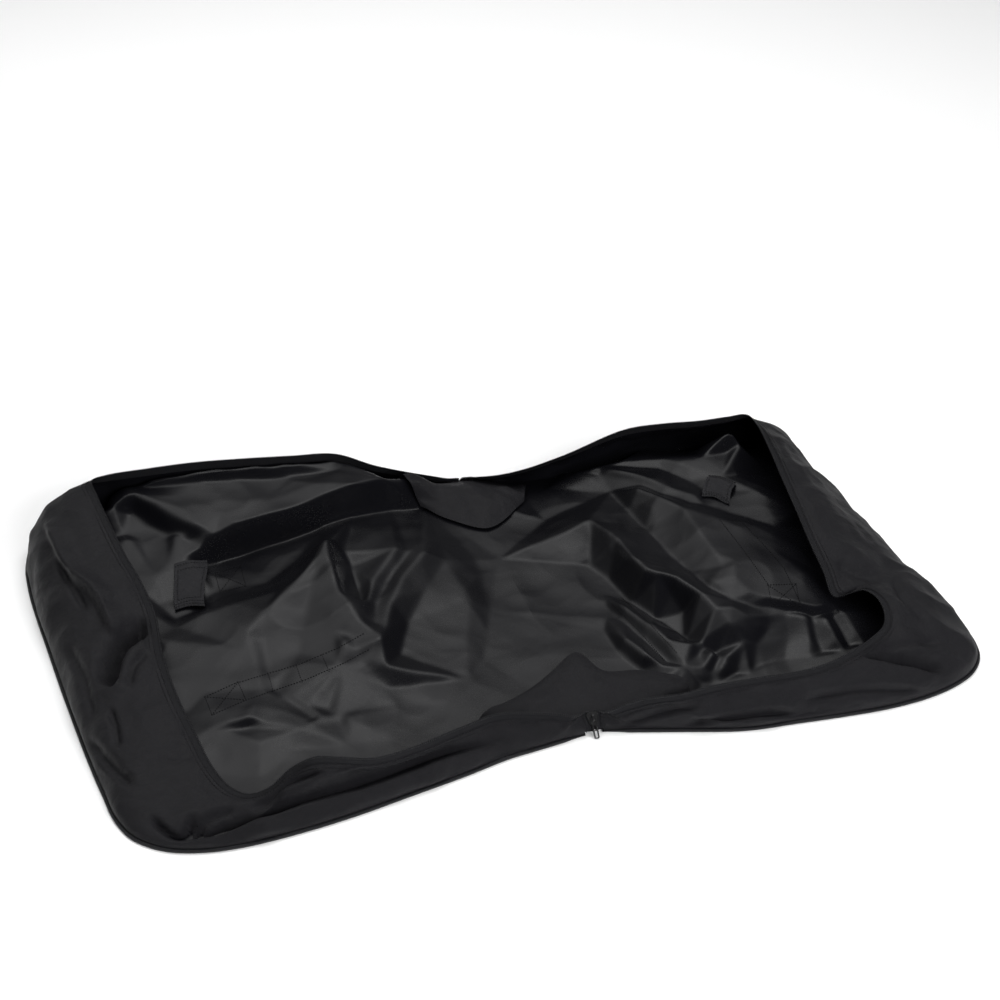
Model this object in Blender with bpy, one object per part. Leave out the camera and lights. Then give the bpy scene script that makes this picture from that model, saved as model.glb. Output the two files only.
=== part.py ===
# A soft travel bag, unzipped and spread open on the floor with its inside up.
# Metres, +Z up. The two halves lie left (-X) and right (+X) of the bottom, and -Y is the near end,
# where the zipper starts. The origin is the middle of the floor space that the bag covers.

import math

import bmesh
import bpy
from mathutils import Vector, geometry

# Cloth, webbing and seams
CLOTH_THICK = 0.0020
BOTTOM_THICK = 0.0040
WEBBING_THICK = 0.0015
WEBBING_WIDTH = 0.040
PIPING_RADIUS = 0.0025
FOLD_BEAD_RADIUS = 0.0018
GAP = 0.0003

# Bottom panel, which the two halves fold up beside
BOTTOM_WIDTH = 0.300
NEAR_NOTCH_Y = -0.010
FAR_NOTCH_Y = 0.640

# Floor outline of the left half, measured out from the bottom's centre line and along Y
LEFT_FOLD_NEAR_Y = -0.031
LEFT_NEAR_SHOULDER_SHARE = 0.625
LEFT_NEAR_EDGE_Y = -0.083
LEFT_NEAR_REACH = 0.672
LEFT_NEAR_ROUNDING_SHARE = 0.635
LEFT_FAR_REACH = 0.706
LEFT_FAR_EDGE_Y = 0.725
LEFT_FAR_ROUNDING = 0.130
LEFT_FAR_SHOULDER = 0.300
LEFT_FOLD_FAR_Y = 0.672

# Floor outline of the right half, whose cloth lies more bunched
RIGHT_FOLD_NEAR_Y = -0.064
RIGHT_NEAR_SHOULDER_SHARE = 0.656
RIGHT_NEAR_EDGE_Y = -0.091
RIGHT_NEAR_REACH = 0.610
RIGHT_NEAR_ROUNDING_SHARE = 0.650
RIGHT_FAR_REACH = 0.550
RIGHT_FAR_EDGE_Y = 0.622
RIGHT_FAR_ROUNDING = 0.070
RIGHT_FAR_SHOULDER = 0.300
RIGHT_FOLD_FAR_Y = 0.602

# Free edge of the left gusset wall: how far it flops in from the outline, and its height
LEFT_NEAR_LEAN = 0.080
LEFT_CORNER_LEAN = 0.132
LEFT_CORNER_DROP = 0.040
LEFT_FAR_CORNER_LEAN = 0.131
LEFT_FAR_LEAN = 0.030
LEFT_NEAR_HEIGHT = 0.055
LEFT_CORNER_HEIGHT = 0.048
LEFT_FAR_CORNER_HEIGHT = 0.105
LEFT_FAR_HEIGHT = 0.100

# Free edge of the right gusset wall
RIGHT_NEAR_LEAN = 0.060
RIGHT_CORNER_LEAN = 0.160
RIGHT_CORNER_DROP = 0.095
RIGHT_RIM_SHOULDER_SHARE = 0.534
RIGHT_FAR_CORNER_LEAN = 0.072
RIGHT_FAR_LEAN = 0.045
RIGHT_NEAR_HEIGHT = 0.052
RIGHT_CORNER_HEIGHT = 0.060
RIGHT_FAR_CORNER_HEIGHT = 0.105
RIGHT_FAR_HEIGHT = 0.090

RIM_ROUNDING = 0.050
SHOULDER_ROUNDING = 0.060
WALL_FOOT_INSET = 0.0055
RIM_MITRE = 0.050
FAR_RIM_MITRE = 0.055
NEAR_FOLD_RIM_Y = 0.020
FAR_FOLD_RIM_INSET = 0.024
ARCH_OUT_SHARE = 0.22
ARCH_RISE_SHARE = 1.18

# Zipper tape and coil
TAPE_WIDTH = 0.010
TAPE_THICK = 0.0006
COIL_WIDTH = 0.0028
COIL_THICK = 0.0022
TOOTH_REACH = 0.0019
TOOTH_LENGTH = 0.0012
TOOTH_PITCH = 0.0030
TOOTH_SLOPE = 0.0003

# The straight start of the zipper, where the slider is
ZIP_FOOT_Y = -0.012
ZIP_FOOT_Z = 0.0125
ZIP_TILT_DEG = 50.0
FAR_ZIP_FOOT_INSET = 0.006
ROW_OFFSET = 0.0013
ROW_SPREAD_START = 0.0080
ROW_SPREAD_SHARE = 0.16
ROW_STRAIGHT_END = 0.0280
ROW_BEND_RADIUS = 0.018
TAPE_TAIL = 0.0060
STOP_LENGTH = 0.0030
STOP_THICK = 0.0030

# Slider and pull tab
SLIDER_LENGTH = 0.0170
SLIDER_TRAVEL = 0.0060
SLIDER_PLATE = 0.0013
SLIDER_WALL = 0.0010
SLIDER_FIT = 0.0003
NECK_HALF_WIDTH = 0.0011
NECK_LENGTH = 0.0085
SLIDER_ROUNDING = 0.0014
BRIDGE_LENGTH = 0.0095
BRIDGE_WIDTH = 0.0022
BRIDGE_OPENING = 0.0026
BRIDGE_BAR = 0.0012
PULL_LENGTH = 0.0300
PULL_WIDTH = 0.0076
PULL_THICK = 0.0014
PULL_BAR = 0.0014
PULL_WINDOW_LENGTH = 0.0056
PULL_SLOT_START = 0.0105
PULL_SLOT_WIDTH = 0.0036
PULL_RIM = 0.0016
BRIDGE_PLAY = 0.0004
CHAMFER_START_SHARE = 0.55
CHAMFER_WIDTH_SHARE = 0.8
PULL_ROUNDING_SHARE = 0.7
SLOT_ROUNDING_SHARE = 0.8

# Webbing legs, carry handles and inner tabs
LEFT_LEG_END_SHARE = 0.744
RIGHT_LEG_END_SHARE = 0.643
LEFT_LEG_NEAR_Y = 0.190
RIGHT_LEG_NEAR_Y = 0.170
LEG_SPACING = 0.262
LEG_START_ROOM = 0.010
HANDLE_DROP = 0.150
HANDLE_ROUNDING = 0.070
HANDLE_PLAY = 0.0011
TAB_LENGTH = 0.050
TAB_WIDTH = 0.036

# Main folds of the side panels. Each crease is a line of points, in shares of the way out from the
# bottom, of the way along from the near edge to the far one, and of the highest fold.
FOLD_HEIGHT = 0.080
FOLD_MARGIN = 0.012
TAB_ROOM = 0.004
LEFT_TAB_SHARES = (0.595, 0.70, 0.33)
RIGHT_TAB_SHARES = (0.566, 0.75, 0.64)
LEFT_FOLD_SHARES = {
    "apex_left": [(0.21, 0.66, 0.97), (0.35, 0.57, 0.72), (0.52, 0.45, 0.45), (0.71, 0.35, 0.17)],
    "apex_near": [(0.21, 0.66, 0.97), (0.23, 0.52, 0.80), (0.17, 0.39, 0.60), (0.18, 0.29, 0.22)],
    "apex_sink": [(0.32, 0.51, 0.55), (0.38, 0.42, 0.35), (0.45, 0.34, 0.20)],
    "behind_apex": [(0.16, 0.67, 0.57), (0.15, 0.56, 0.45), (0.13, 0.47, 0.43)],
    "drape": [(0.07, 0.63, 0.55), (0.09, 0.52, 0.55), (0.12, 0.43, 0.55)],
    "back_fold": [(0.52, 0.79, 0.50), (0.48, 0.80, 0.65), (0.29, 0.81, 0.80), (0.09, 0.83, 0.88)],
    "back_foot": [(0.54, 0.76, 0.25), (0.41, 0.77, 0.17), (0.29, 0.78, 0.15), (0.10, 0.80, 0.15)],
    "back_ridge": [(0.64, 0.94, 0.72), (0.54, 0.85, 0.70), (0.48, 0.80, 0.65)],
    "back_ridge_foot": [(0.68, 0.91, 0.38), (0.63, 0.88, 0.25), (0.57, 0.82, 0.21)],
    "far_ledge": [(0.20, 0.89, 0.70), (0.31, 0.91, 0.85), (0.49, 0.92, 0.80)],
    "tab_hole": [(0.67, 0.64, 0.15), (0.60, 0.63, 0.14), (0.53, 0.65, 0.16)],
    "double_ridge": [(0.67, 0.57, 0.32), (0.50, 0.58, 0.47), (0.35, 0.60, 0.67)],
    "outer_edge": [(0.73, 0.65, 0.30), (0.73, 0.54, 0.34), (0.74, 0.42, 0.25)],
    "near_ledge": [(0.64, 0.25, 0.24), (0.45, 0.22, 0.25), (0.19, 0.23, 0.17)],
}
RIGHT_FOLD_SHARES = {
    "upper_ridge": [(0.11, 0.93, 0.35), (0.27, 0.92, 0.57), (0.42, 0.89, 0.65)],
    "ridge_end": [(0.69, 0.68, 0.64), (0.79, 0.57, 0.32)],
    "inner_ridge": [
        (0.14, 0.86, 0.53), (0.24, 0.80, 0.67), (0.36, 0.65, 0.78), (0.45, 0.51, 0.67),
        (0.55, 0.34, 0.53),
    ],
    "ridge_sink": [(0.35, 0.80, 0.54), (0.47, 0.69, 0.55), (0.56, 0.53, 0.47), (0.63, 0.35, 0.38)],
    "big_fold": [
        (0.07, 0.74, 0.50), (0.08, 0.61, 0.62), (0.13, 0.45, 0.72), (0.20, 0.38, 0.72),
        (0.25, 0.30, 0.59), (0.26, 0.23, 0.38), (0.23, 0.17, 0.17),
    ],
    "big_fold_foot": [(0.06, 0.44, 0.17), (0.11, 0.37, 0.15), (0.16, 0.29, 0.15), (0.19, 0.17, 0.12)],
    "strip_edge": [(0.36, 0.33, 0.57), (0.49, 0.30, 0.56), (0.61, 0.28, 0.50)],
    "strip_front": [(0.32, 0.20, 0.22), (0.49, 0.18, 0.17), (0.65, 0.19, 0.17)],
}

# Flaps of the two ends, folded in over the bottom
NEAR_FLAP_INSET = 0.024
FAR_FLAP_INSET = 0.055
FLAP_LEFT = 0.092
FLAP_RIGHT = 0.100
FLAP_DEPTH = 0.130
FLAP_TIP = 0.045
FLAP_TIP_SHIFT = 0.040
FLAP_FOLD_THICK = 0.0070

RUN_STEPS = 7
ARC_STEPS = 6
WALL_ROWS = 5
OVERRUN = 0.004

zipAngle = math.radians(ZIP_TILT_DEG)
foldX = BOTTOM_WIDTH / 2
panelUnder = WEBBING_THICK + GAP
panelTop = panelUnder + CLOTH_THICK
foldAxisZ = panelUnder + CLOTH_THICK / 2
foldClear = FOLD_BEAD_RADIUS + GAP
nearRimZ = RIM_MITRE - WALL_FOOT_INSET
farRimZ = FAR_RIM_MITRE - WALL_FOOT_INSET
leftShoulder = LEFT_NEAR_SHOULDER_SHARE * LEFT_NEAR_REACH
rightShoulder = RIGHT_NEAR_SHOULDER_SHARE * RIGHT_NEAR_REACH
leftRounding = LEFT_NEAR_ROUNDING_SHARE * (LEFT_NEAR_REACH - leftShoulder)
rightRounding = RIGHT_NEAR_ROUNDING_SHARE * (RIGHT_NEAR_REACH - rightShoulder)

halves = {
    "left": {
        "side": -1,
        "seam": [
            (foldX + foldClear, LEFT_FOLD_NEAR_Y),
            (leftShoulder, LEFT_NEAR_EDGE_Y),
            (LEFT_NEAR_REACH, LEFT_NEAR_EDGE_Y),
            (LEFT_FAR_REACH, LEFT_FAR_EDGE_Y),
            (LEFT_FAR_SHOULDER, LEFT_FAR_EDGE_Y - LEFT_FAR_LEAN),
            (foldX + foldClear, LEFT_FOLD_FAR_Y),
        ],
        "seamRounding": [SHOULDER_ROUNDING, leftRounding, LEFT_FAR_ROUNDING, SHOULDER_ROUNDING],
        "rim": [
            (foldX + RIM_MITRE, NEAR_FOLD_RIM_Y, nearRimZ),
            (leftShoulder, LEFT_NEAR_EDGE_Y + LEFT_NEAR_LEAN, LEFT_NEAR_HEIGHT),
            (
                LEFT_NEAR_REACH - LEFT_CORNER_LEAN,
                LEFT_NEAR_EDGE_Y + LEFT_CORNER_DROP,
                LEFT_CORNER_HEIGHT,
            ),
            (
                LEFT_FAR_REACH - LEFT_FAR_CORNER_LEAN,
                LEFT_FAR_EDGE_Y - LEFT_FAR_LEAN,
                LEFT_FAR_CORNER_HEIGHT,
            ),
            (LEFT_FAR_SHOULDER, LEFT_FAR_EDGE_Y - 2 * LEFT_FAR_LEAN, LEFT_FAR_HEIGHT),
            (foldX + FAR_RIM_MITRE, LEFT_FOLD_FAR_Y - FAR_FOLD_RIM_INSET, farRimZ),
        ],
        "legEnd": LEFT_LEG_END_SHARE * LEFT_NEAR_REACH,
        "legNearY": LEFT_LEG_NEAR_Y,
        "tab": LEFT_TAB_SHARES,
        "folds": LEFT_FOLD_SHARES,
        "reaches": (LEFT_NEAR_REACH, LEFT_FAR_REACH),
        "ends": (LEFT_NEAR_EDGE_Y, LEFT_FAR_EDGE_Y),
        "foldNearY": LEFT_FOLD_NEAR_Y,
        "foldFarY": LEFT_FOLD_FAR_Y,
    },
    "right": {
        "side": 1,
        "seam": [
            (foldX + foldClear, RIGHT_FOLD_NEAR_Y),
            (rightShoulder, RIGHT_NEAR_EDGE_Y),
            (RIGHT_NEAR_REACH, RIGHT_NEAR_EDGE_Y),
            (RIGHT_FAR_REACH, RIGHT_FAR_EDGE_Y),
            (RIGHT_FAR_SHOULDER, RIGHT_FAR_EDGE_Y),
            (foldX + foldClear, RIGHT_FOLD_FAR_Y),
        ],
        "seamRounding": [SHOULDER_ROUNDING, rightRounding, RIGHT_FAR_ROUNDING, SHOULDER_ROUNDING],
        "rim": [
            (foldX + RIM_MITRE, RIGHT_FOLD_NEAR_Y + RIGHT_NEAR_LEAN, nearRimZ),
            (
                RIGHT_RIM_SHOULDER_SHARE * RIGHT_NEAR_REACH,
                RIGHT_NEAR_EDGE_Y + RIGHT_NEAR_LEAN,
                RIGHT_NEAR_HEIGHT,
            ),
            (
                RIGHT_NEAR_REACH - RIGHT_CORNER_LEAN,
                RIGHT_NEAR_EDGE_Y + RIGHT_CORNER_DROP,
                RIGHT_CORNER_HEIGHT,
            ),
            (
                RIGHT_FAR_REACH - RIGHT_FAR_CORNER_LEAN,
                RIGHT_FAR_EDGE_Y - RIGHT_FAR_LEAN,
                RIGHT_FAR_CORNER_HEIGHT,
            ),
            (RIGHT_FAR_SHOULDER, RIGHT_FAR_EDGE_Y - RIGHT_FAR_LEAN, RIGHT_FAR_HEIGHT),
            (foldX + FAR_RIM_MITRE, RIGHT_FOLD_FAR_Y - FAR_FOLD_RIM_INSET, farRimZ),
        ],
        "legEnd": RIGHT_LEG_END_SHARE * RIGHT_NEAR_REACH,
        "legNearY": RIGHT_LEG_NEAR_Y,
        "tab": RIGHT_TAB_SHARES,
        "folds": RIGHT_FOLD_SHARES,
        "reaches": (RIGHT_NEAR_REACH, RIGHT_FAR_REACH),
        "ends": (RIGHT_NEAR_EDGE_Y, RIGHT_FAR_EDGE_Y),
        "foldNearY": RIGHT_FOLD_NEAR_Y,
        "foldFarY": RIGHT_FOLD_FAR_Y,
    },
}


def clear_scene():
    for old in list(bpy.data.objects):
        bpy.data.objects.remove(old, do_unlink=True)


def make_material(name, colour, roughness, metallic=0.0):
    material = bpy.data.materials.new(name)
    material.use_nodes = True
    shader = material.node_tree.nodes["Principled BSDF"]
    shader.inputs["Base Color"].default_value = (*colour, 1.0)
    shader.inputs["Roughness"].default_value = roughness
    shader.inputs["Metallic"].default_value = metallic
    return material


def add_object(name, mesh, material, origin=None):
    """Link the mesh at its origin, moved so that the bag's middle is the scene's."""
    origin = Vector() if origin is None else origin
    for vertex in mesh.vertices:
        vertex.co -= origin
    part = bpy.data.objects.new(name, mesh)
    part.location = origin - bagMiddle
    part.data.materials.append(material)
    bpy.context.collection.objects.link(part)
    return part


def finish(bm, name, material, origin=None, smooth=False):
    bmesh.ops.remove_doubles(bm, verts=bm.verts, dist=GAP / 100)
    bmesh.ops.recalc_face_normals(bm, faces=bm.faces)
    mesh = bpy.data.meshes.new(name)
    bm.to_mesh(mesh)
    bm.free()
    if smooth:
        mesh.shade_smooth()
    return add_object(name, mesh, material, origin)


def rounded(corners, roundings):
    """Points along straight runs between corners, each inner corner cut by a smooth curve."""
    corners = [Vector(c) for c in corners]
    line = [corners[0]]
    for i in range(1, len(corners) - 1):
        corner = corners[i]
        into = corner + (corners[i - 1] - corner).normalized() * roundings[i - 1]
        out = corner + (corners[i + 1] - corner).normalized() * roundings[i - 1]
        start = line[-1]
        line += [start.lerp(into, k / RUN_STEPS) for k in range(1, RUN_STEPS + 1)]
        for k in range(1, ARC_STEPS + 1):
            t = k / ARC_STEPS
            line.append(into.lerp(corner, t).lerp(corner.lerp(out, t), t))
    start = line[-1]
    line += [start.lerp(corners[-1], k / RUN_STEPS) for k in range(1, RUN_STEPS + 1)]
    return line


def flat_normals(line):
    """Unit vectors in plan, to the left of the way that the line runs."""
    normals = []
    for i in range(len(line)):
        step = line[min(i + 1, len(line) - 1)] - line[max(i - 1, 0)]
        normals.append(Vector((-step.y, step.x)).normalized())
    return normals


def inset(line, distance):
    return [p + n * distance for p, n in zip(line, flat_normals(line))]


def floor_middle():
    """The middle of the floor space that both halves' seams span, which is the part's origin."""
    points = []
    for half in halves.values():
        line = rounded(half["seam"], half["seamRounding"])
        points += [(half["side"] * p.x, p.y) for p in line]
    xs, ys = zip(*points)
    return Vector(((min(xs) + max(xs)) / 2, (min(ys) + max(ys)) / 2, 0))


def prism(name, outline, low, high, material):
    """A flat piece: the plan outline from one height to another."""
    bm = bmesh.new()
    face = bm.faces.new([bm.verts.new((x, y, low)) for x, y in outline])
    top = bmesh.ops.extrude_face_region(bm, geom=[face])["geom"]
    lifted = [v for v in top if isinstance(v, bmesh.types.BMVert)]
    bmesh.ops.translate(bm, verts=lifted, vec=(0, 0, high - low))
    return finish(bm, name, material)


def shell(name, upper, lower, material, origin=None):
    """A closed sheet between two equal grids of points."""
    bm = bmesh.new()
    grids = [[[bm.verts.new(p) for p in row] for row in grid] for grid in (upper, lower)]
    rows, columns = len(upper), len(upper[0])
    for grid in grids:
        for i in range(rows - 1):
            for j in range(columns - 1):
                bm.faces.new((grid[i][j], grid[i + 1][j], grid[i + 1][j + 1], grid[i][j + 1]))
    a, b = grids
    for i in range(rows - 1):
        for j in (0, columns - 1):
            bm.faces.new((a[i][j], a[i + 1][j], b[i + 1][j], b[i][j]))
    for j in range(columns - 1):
        for i in (0, rows - 1):
            bm.faces.new((a[i][j], a[i][j + 1], b[i][j + 1], b[i][j]))
    return finish(bm, name, material, origin, smooth=False)


def ribbon(name, path, across, faces, near_edge, far_edge, thick, material, origin=None):
    """A strip along a path. Its edges lie at set distances across it, and it is centred on the path."""
    upper, lower = [], []
    for i, (point, side, normal) in enumerate(zip(path, across, faces)):
        first = near_edge[i] if isinstance(near_edge, list) else near_edge
        last = far_edge[i] if isinstance(far_edge, list) else far_edge
        upper.append([point + side * first + normal * thick / 2, point + side * last + normal * thick / 2])
        lower.append([point + side * first - normal * thick / 2, point + side * last - normal * thick / 2])
    return shell(name, upper, lower, material, origin)


def tube(name, line, radius, material, sides=2):
    """A solid cord through the points, with filled ends."""
    curve = bpy.data.curves.new(name, "CURVE")
    curve.dimensions = "3D"
    curve.bevel_depth = radius
    curve.bevel_resolution = sides
    curve.use_fill_caps = True
    spline = curve.splines.new("POLY")
    spline.points.add(len(line) - 1)
    for dot, point in zip(spline.points, line):
        dot.co = (*point, 1.0)
    part = bpy.data.objects.new(name, curve)
    part.location = -bagMiddle
    curve.materials.append(material)
    bpy.context.collection.objects.link(part)
    return part


def wall_sections(half):
    """For each place round a half: the wall's foot, the pull of its arch and its free edge."""
    side = half["side"]
    seam = inset(rounded(half["seam"], half["seamRounding"]), WALL_FOOT_INSET)
    rim_roundings = [SHOULDER_ROUNDING, RIM_ROUNDING, RIM_ROUNDING, SHOULDER_ROUNDING]
    rim = rounded(half["rim"], rim_roundings)
    inward = [n.to_3d() for n in flat_normals(rim)]
    count = len(rim)
    sections = []
    for k, edge in enumerate(rim):
        foot = Vector((seam[k].x, seam[k].y, panelTop + GAP))
        if k in (0, count - 1):
            foot.x = foldX + foldClear + WALL_FOOT_INSET
        ramp = min(1.0, k / RUN_STEPS, (count - 1 - k) / RUN_STEPS)
        lean = (edge - foot).dot(inward[k])
        arch = edge - inward[k] * lean * (1 - ARCH_OUT_SHARE)
        arch.z = edge.z * ARCH_RISE_SHARE
        middle = (foot + edge) / 2
        pull = middle.lerp(arch, ramp)
        sections.append([Vector((side * p.x, p.y, p.z)) for p in (foot, pull, edge)])
    return sections


def rim_frames(sections, side):
    """The free edge as a path, with the way down the wall and the wall's outward normal."""
    path = [edge for foot, pull, edge in sections]
    across, faces = [], []
    for i, (foot, pull, edge) in enumerate(sections):
        step = (path[min(i + 1, len(path) - 1)] - path[max(i - 1, 0)]).normalized()
        down = pull - edge
        across.append((down - step * down.dot(step)).normalized())
        faces.append(step.cross(across[i]) * -side)
    return path, across, faces


def gusset_wall(name, sections, side, material):
    """The wall's cloth, arched over from its foot to the zipper tape."""
    path, across, faces = rim_frames(sections, side)
    tape_room = COIL_WIDTH + GAP + TAPE_WIDTH + 2 * GAP
    grid = []
    for (foot, pull, edge), down in zip(sections, across):
        top = edge + down * tape_room
        row = []
        for j in range(WALL_ROWS + 1):
            t = j / WALL_ROWS
            row.append(foot.lerp(pull, t).lerp(pull.lerp(top, t), t))
        grid.append(row)
    inner = []
    for i in range(len(grid)):
        row = []
        for j in range(WALL_ROWS + 1):
            along = grid[min(i + 1, len(grid) - 1)][j] - grid[max(i - 1, 0)][j]
            upward = grid[i][min(j + 1, WALL_ROWS)] - grid[i][max(j - 1, 0)]
            normal = upward.cross(along).normalized() * -side
            if j == 0:
                normal = Vector((normal.x, normal.y, 0)).normalized()
            if j == WALL_ROWS:
                normal = faces[i]
            row.append(grid[i][j] - normal * CLOTH_THICK)
        inner.append(row)
    return shell(name, grid, inner, material)


def fold_point(half, shares):
    """A point of the folded panel, and its lift over the flat one, from its shares."""
    out, along, up = shares
    near, far = half["ends"]
    near_reach, far_reach = half["reaches"]
    reach = near_reach + along * (far_reach - near_reach)
    return Vector((foldX + out * (reach - foldX), near + along * (far - near), up * FOLD_HEIGHT))


def tab_corners(half, room):
    """The inner tab's corners with room round them, at the panel's lift there."""
    middle = fold_point(half, half["tab"])
    wide = TAB_WIDTH / 2 + room
    long = TAB_LENGTH / 2 + room
    return [middle + Vector((wide * x, long * y, 0)) for x, y in ((-1, -1), (1, -1), (1, 1), (-1, 1))]


def lift_at(spot, source, places):
    """A net point's lift: its own, or the nearest point's where a changed size makes creases cross."""
    if source:
        return places[source[0]].z
    return min(places, key=lambda p: (p.to_2d() - spot).length).z


def folded_panel(name, half, outline, material):
    """The panel's sheet, level along its seams and under its tab, and risen into its main folds."""
    edge = inset(outline, PIPING_RADIUS + GAP)
    edge[0].x = edge[-1].x = foldX + foldClear
    ring = inset(outline, FOLD_MARGIN)
    ring[0].x = ring[-1].x = foldX + foldClear + FOLD_MARGIN
    bench = tab_corners(half, TAB_ROOM)
    lines = [[p.to_3d() for p in loop + loop[:1]] for loop in (edge, ring)]
    lines.append(bench + bench[:1])
    lines += [[fold_point(half, shares) for shares in crease] for crease in half["folds"].values()]

    places, creases = [], []
    for line in lines:
        start = len(places)
        places += line
        creases += [(k, k + 1) for k in range(start, len(places) - 1)]
    plan = [p.to_2d() for p in places]
    net = geometry.delaunay_2d_cdt(plan, creases, [list(range(len(edge)))], 1, GAP / 100)
    spots, faces, sources = net[0], net[2], net[3]
    lifts = [lift_at(spot, source, places) for spot, source in zip(spots, sources)]

    bm = bmesh.new()
    sheets = []
    for low in (panelTop, panelUnder):
        sheets.append([bm.verts.new((half["side"] * p.x, p.y, low + lift)) for p, lift in zip(spots, lifts)])
    for sheet in sheets:
        for face in faces:
            bm.faces.new([sheet[k] for k in face])
    upper, lower = sheets
    border = [next(k for k, source in enumerate(sources) if i in source) for i in range(len(edge))]
    for a, b in zip(border, border[1:] + border[:1]):
        bm.faces.new((upper[a], upper[b], lower[b], lower[a]))
    return finish(bm, name, material)


def make_half(name, half, looks):
    side = half["side"]
    outline = rounded(half["seam"], half["seamRounding"])
    folded_panel(name + "_panel", half, outline, looks["coated"])

    sections = wall_sections(half)
    gusset_wall(name + "_gusset", sections, side, looks["woven"])

    path, across, faces = rim_frames(sections, side)
    path = [p - n * CLOTH_THICK / 2 for p, n in zip(path, faces)]
    tape_start = COIL_WIDTH + GAP
    tape_end = tape_start + TAPE_WIDTH
    ribbon(name + "_zip_tape", path, across, faces, tape_start, tape_end, TAPE_THICK, looks["tape"])
    ribbon(name + "_zip_coil", path, across, faces, 0, COIL_WIDTH, COIL_THICK, looks["coil"])

    cord = [Vector((side * p.x, p.y, PIPING_RADIUS + GAP)) for p in outline]
    tube(name + "_piping", cord, PIPING_RADIUS, looks["piping"], sides=1)


def make_webbing(name, half, looks):
    """Two legs sewn under the panel and the carry handle that hinges where they end."""
    side = half["side"]
    rows = {"near": half["legNearY"], "far": half["legNearY"] + LEG_SPACING}
    for row, y in rows.items():
        outline = [
            (side * (foldX + LEG_START_ROOM), y - WEBBING_WIDTH / 2),
            (side * half["legEnd"], y - WEBBING_WIDTH / 2),
            (side * half["legEnd"], y + WEBBING_WIDTH / 2),
            (side * (foldX + LEG_START_ROOM), y + WEBBING_WIDTH / 2),
        ]
        prism(name + "_webbing_" + row, outline, 0, WEBBING_THICK, looks["webbing"])

    start = half["legEnd"] + 2 * HANDLE_PLAY
    corners = [
        (start, rows["near"]),
        (start + HANDLE_DROP, rows["near"]),
        (start + HANDLE_DROP, rows["far"]),
        (start, rows["far"]),
    ]
    line = rounded(corners, [HANDLE_ROUNDING, HANDLE_ROUNDING])
    path = [Vector((side * p.x, p.y, WEBBING_THICK / 2)) for p in line]
    across = [Vector((side * n.x, n.y, 0)) for n in flat_normals(line)]
    faces = [Vector((0, 0, 1))] * len(path)
    hinge = Vector((side * (half["legEnd"] + HANDLE_PLAY), rows["near"] + LEG_SPACING / 2, 0))
    ribbon(
        name + "_handle", path, across, faces, -WEBBING_WIDTH / 2, WEBBING_WIDTH / 2,
        WEBBING_THICK, looks["webbing"], hinge,
    )

    corners = tab_corners(half, 0)
    low = panelTop + corners[0].z + GAP
    outline = [(side * p.x, p.y) for p in corners]
    prism(name + "_inner_tab", outline, low, low + WEBBING_THICK, looks["webbing"])


def make_bottom(looks):
    reach = foldX - foldClear
    outline = [
        (-reach, LEFT_FOLD_NEAR_Y),
        (0, NEAR_NOTCH_Y),
        (reach, RIGHT_FOLD_NEAR_Y),
        (reach, RIGHT_FOLD_FAR_Y),
        (0, FAR_NOTCH_Y),
        (-reach, LEFT_FOLD_FAR_Y),
    ]
    prism("bottom_panel", outline, 0, BOTTOM_THICK, looks["coated"])
    for name, half in halves.items():
        ends = [half["foldNearY"], half["foldFarY"]]
        line = [Vector((half["side"] * foldX, y, foldAxisZ)) for y in ends]
        tube("fold_seam_" + name, line, FOLD_BEAD_RADIUS, looks["piping"])


def zip_frame(end):
    """The zipper's end: its foot, the way up its straight start and the way out of its face."""
    flip = 1 if end == "near" else -1
    foot_y = ZIP_FOOT_Y if end == "near" else FAR_NOTCH_Y - FAR_ZIP_FOOT_INSET
    foot = Vector((0, foot_y, ZIP_FOOT_Z))
    rise = Vector((0, flip * math.cos(zipAngle), math.sin(zipAngle)))
    face = Vector((0, -flip * math.sin(zipAngle), math.cos(zipAngle)))
    return foot, rise, face


def row_offset(place):
    """How far one row's core lies from the middle, at a place up the straight start."""
    return ROW_OFFSET + max(0, place - ROW_SPREAD_START) * ROW_SPREAD_SHARE


def row_path(side, end):
    """One side of the zipper's end: up the straight start, round a bend and out to the fold.

    Returns points, the way from teeth to tape, face normals and the count on the straight start."""
    foot, rise, face = zip_frame(end)
    out = Vector((side, 0, 0))
    places = [-TAPE_TAIL, 0]
    place = STOP_LENGTH
    while place < ROW_STRAIGHT_END - TOOTH_PITCH:
        places.append(place)
        place += TOOTH_PITCH / 2
    places.append(ROW_STRAIGHT_END)

    points = [foot + rise * s + out * row_offset(s) for s in places]
    across = [out.copy() for s in places]
    last = points[-1]
    for k in range(1, ARC_STEPS + 1):
        turn = math.pi / 2 * k / ARC_STEPS
        bend = out * (1 - math.cos(turn)) + rise * math.sin(turn)
        points.append(last + bend * ROW_BEND_RADIUS)
        across.append(out * math.cos(turn) - rise * math.sin(turn))
    half = halves["left"] if side < 0 else halves["right"]
    rim = half["rim"][0] if end == "near" else half["rim"][-1]
    goal = Vector((side * (2 * foldX - rim[0]), rim[1], rim[2]))
    start = points[-1]
    for k in range(1, RUN_STEPS + 1):
        points.append(start.lerp(goal, k / RUN_STEPS))
        across.append(across[-1].copy())
    return points, across, [face] * len(points), len(places)


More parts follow.
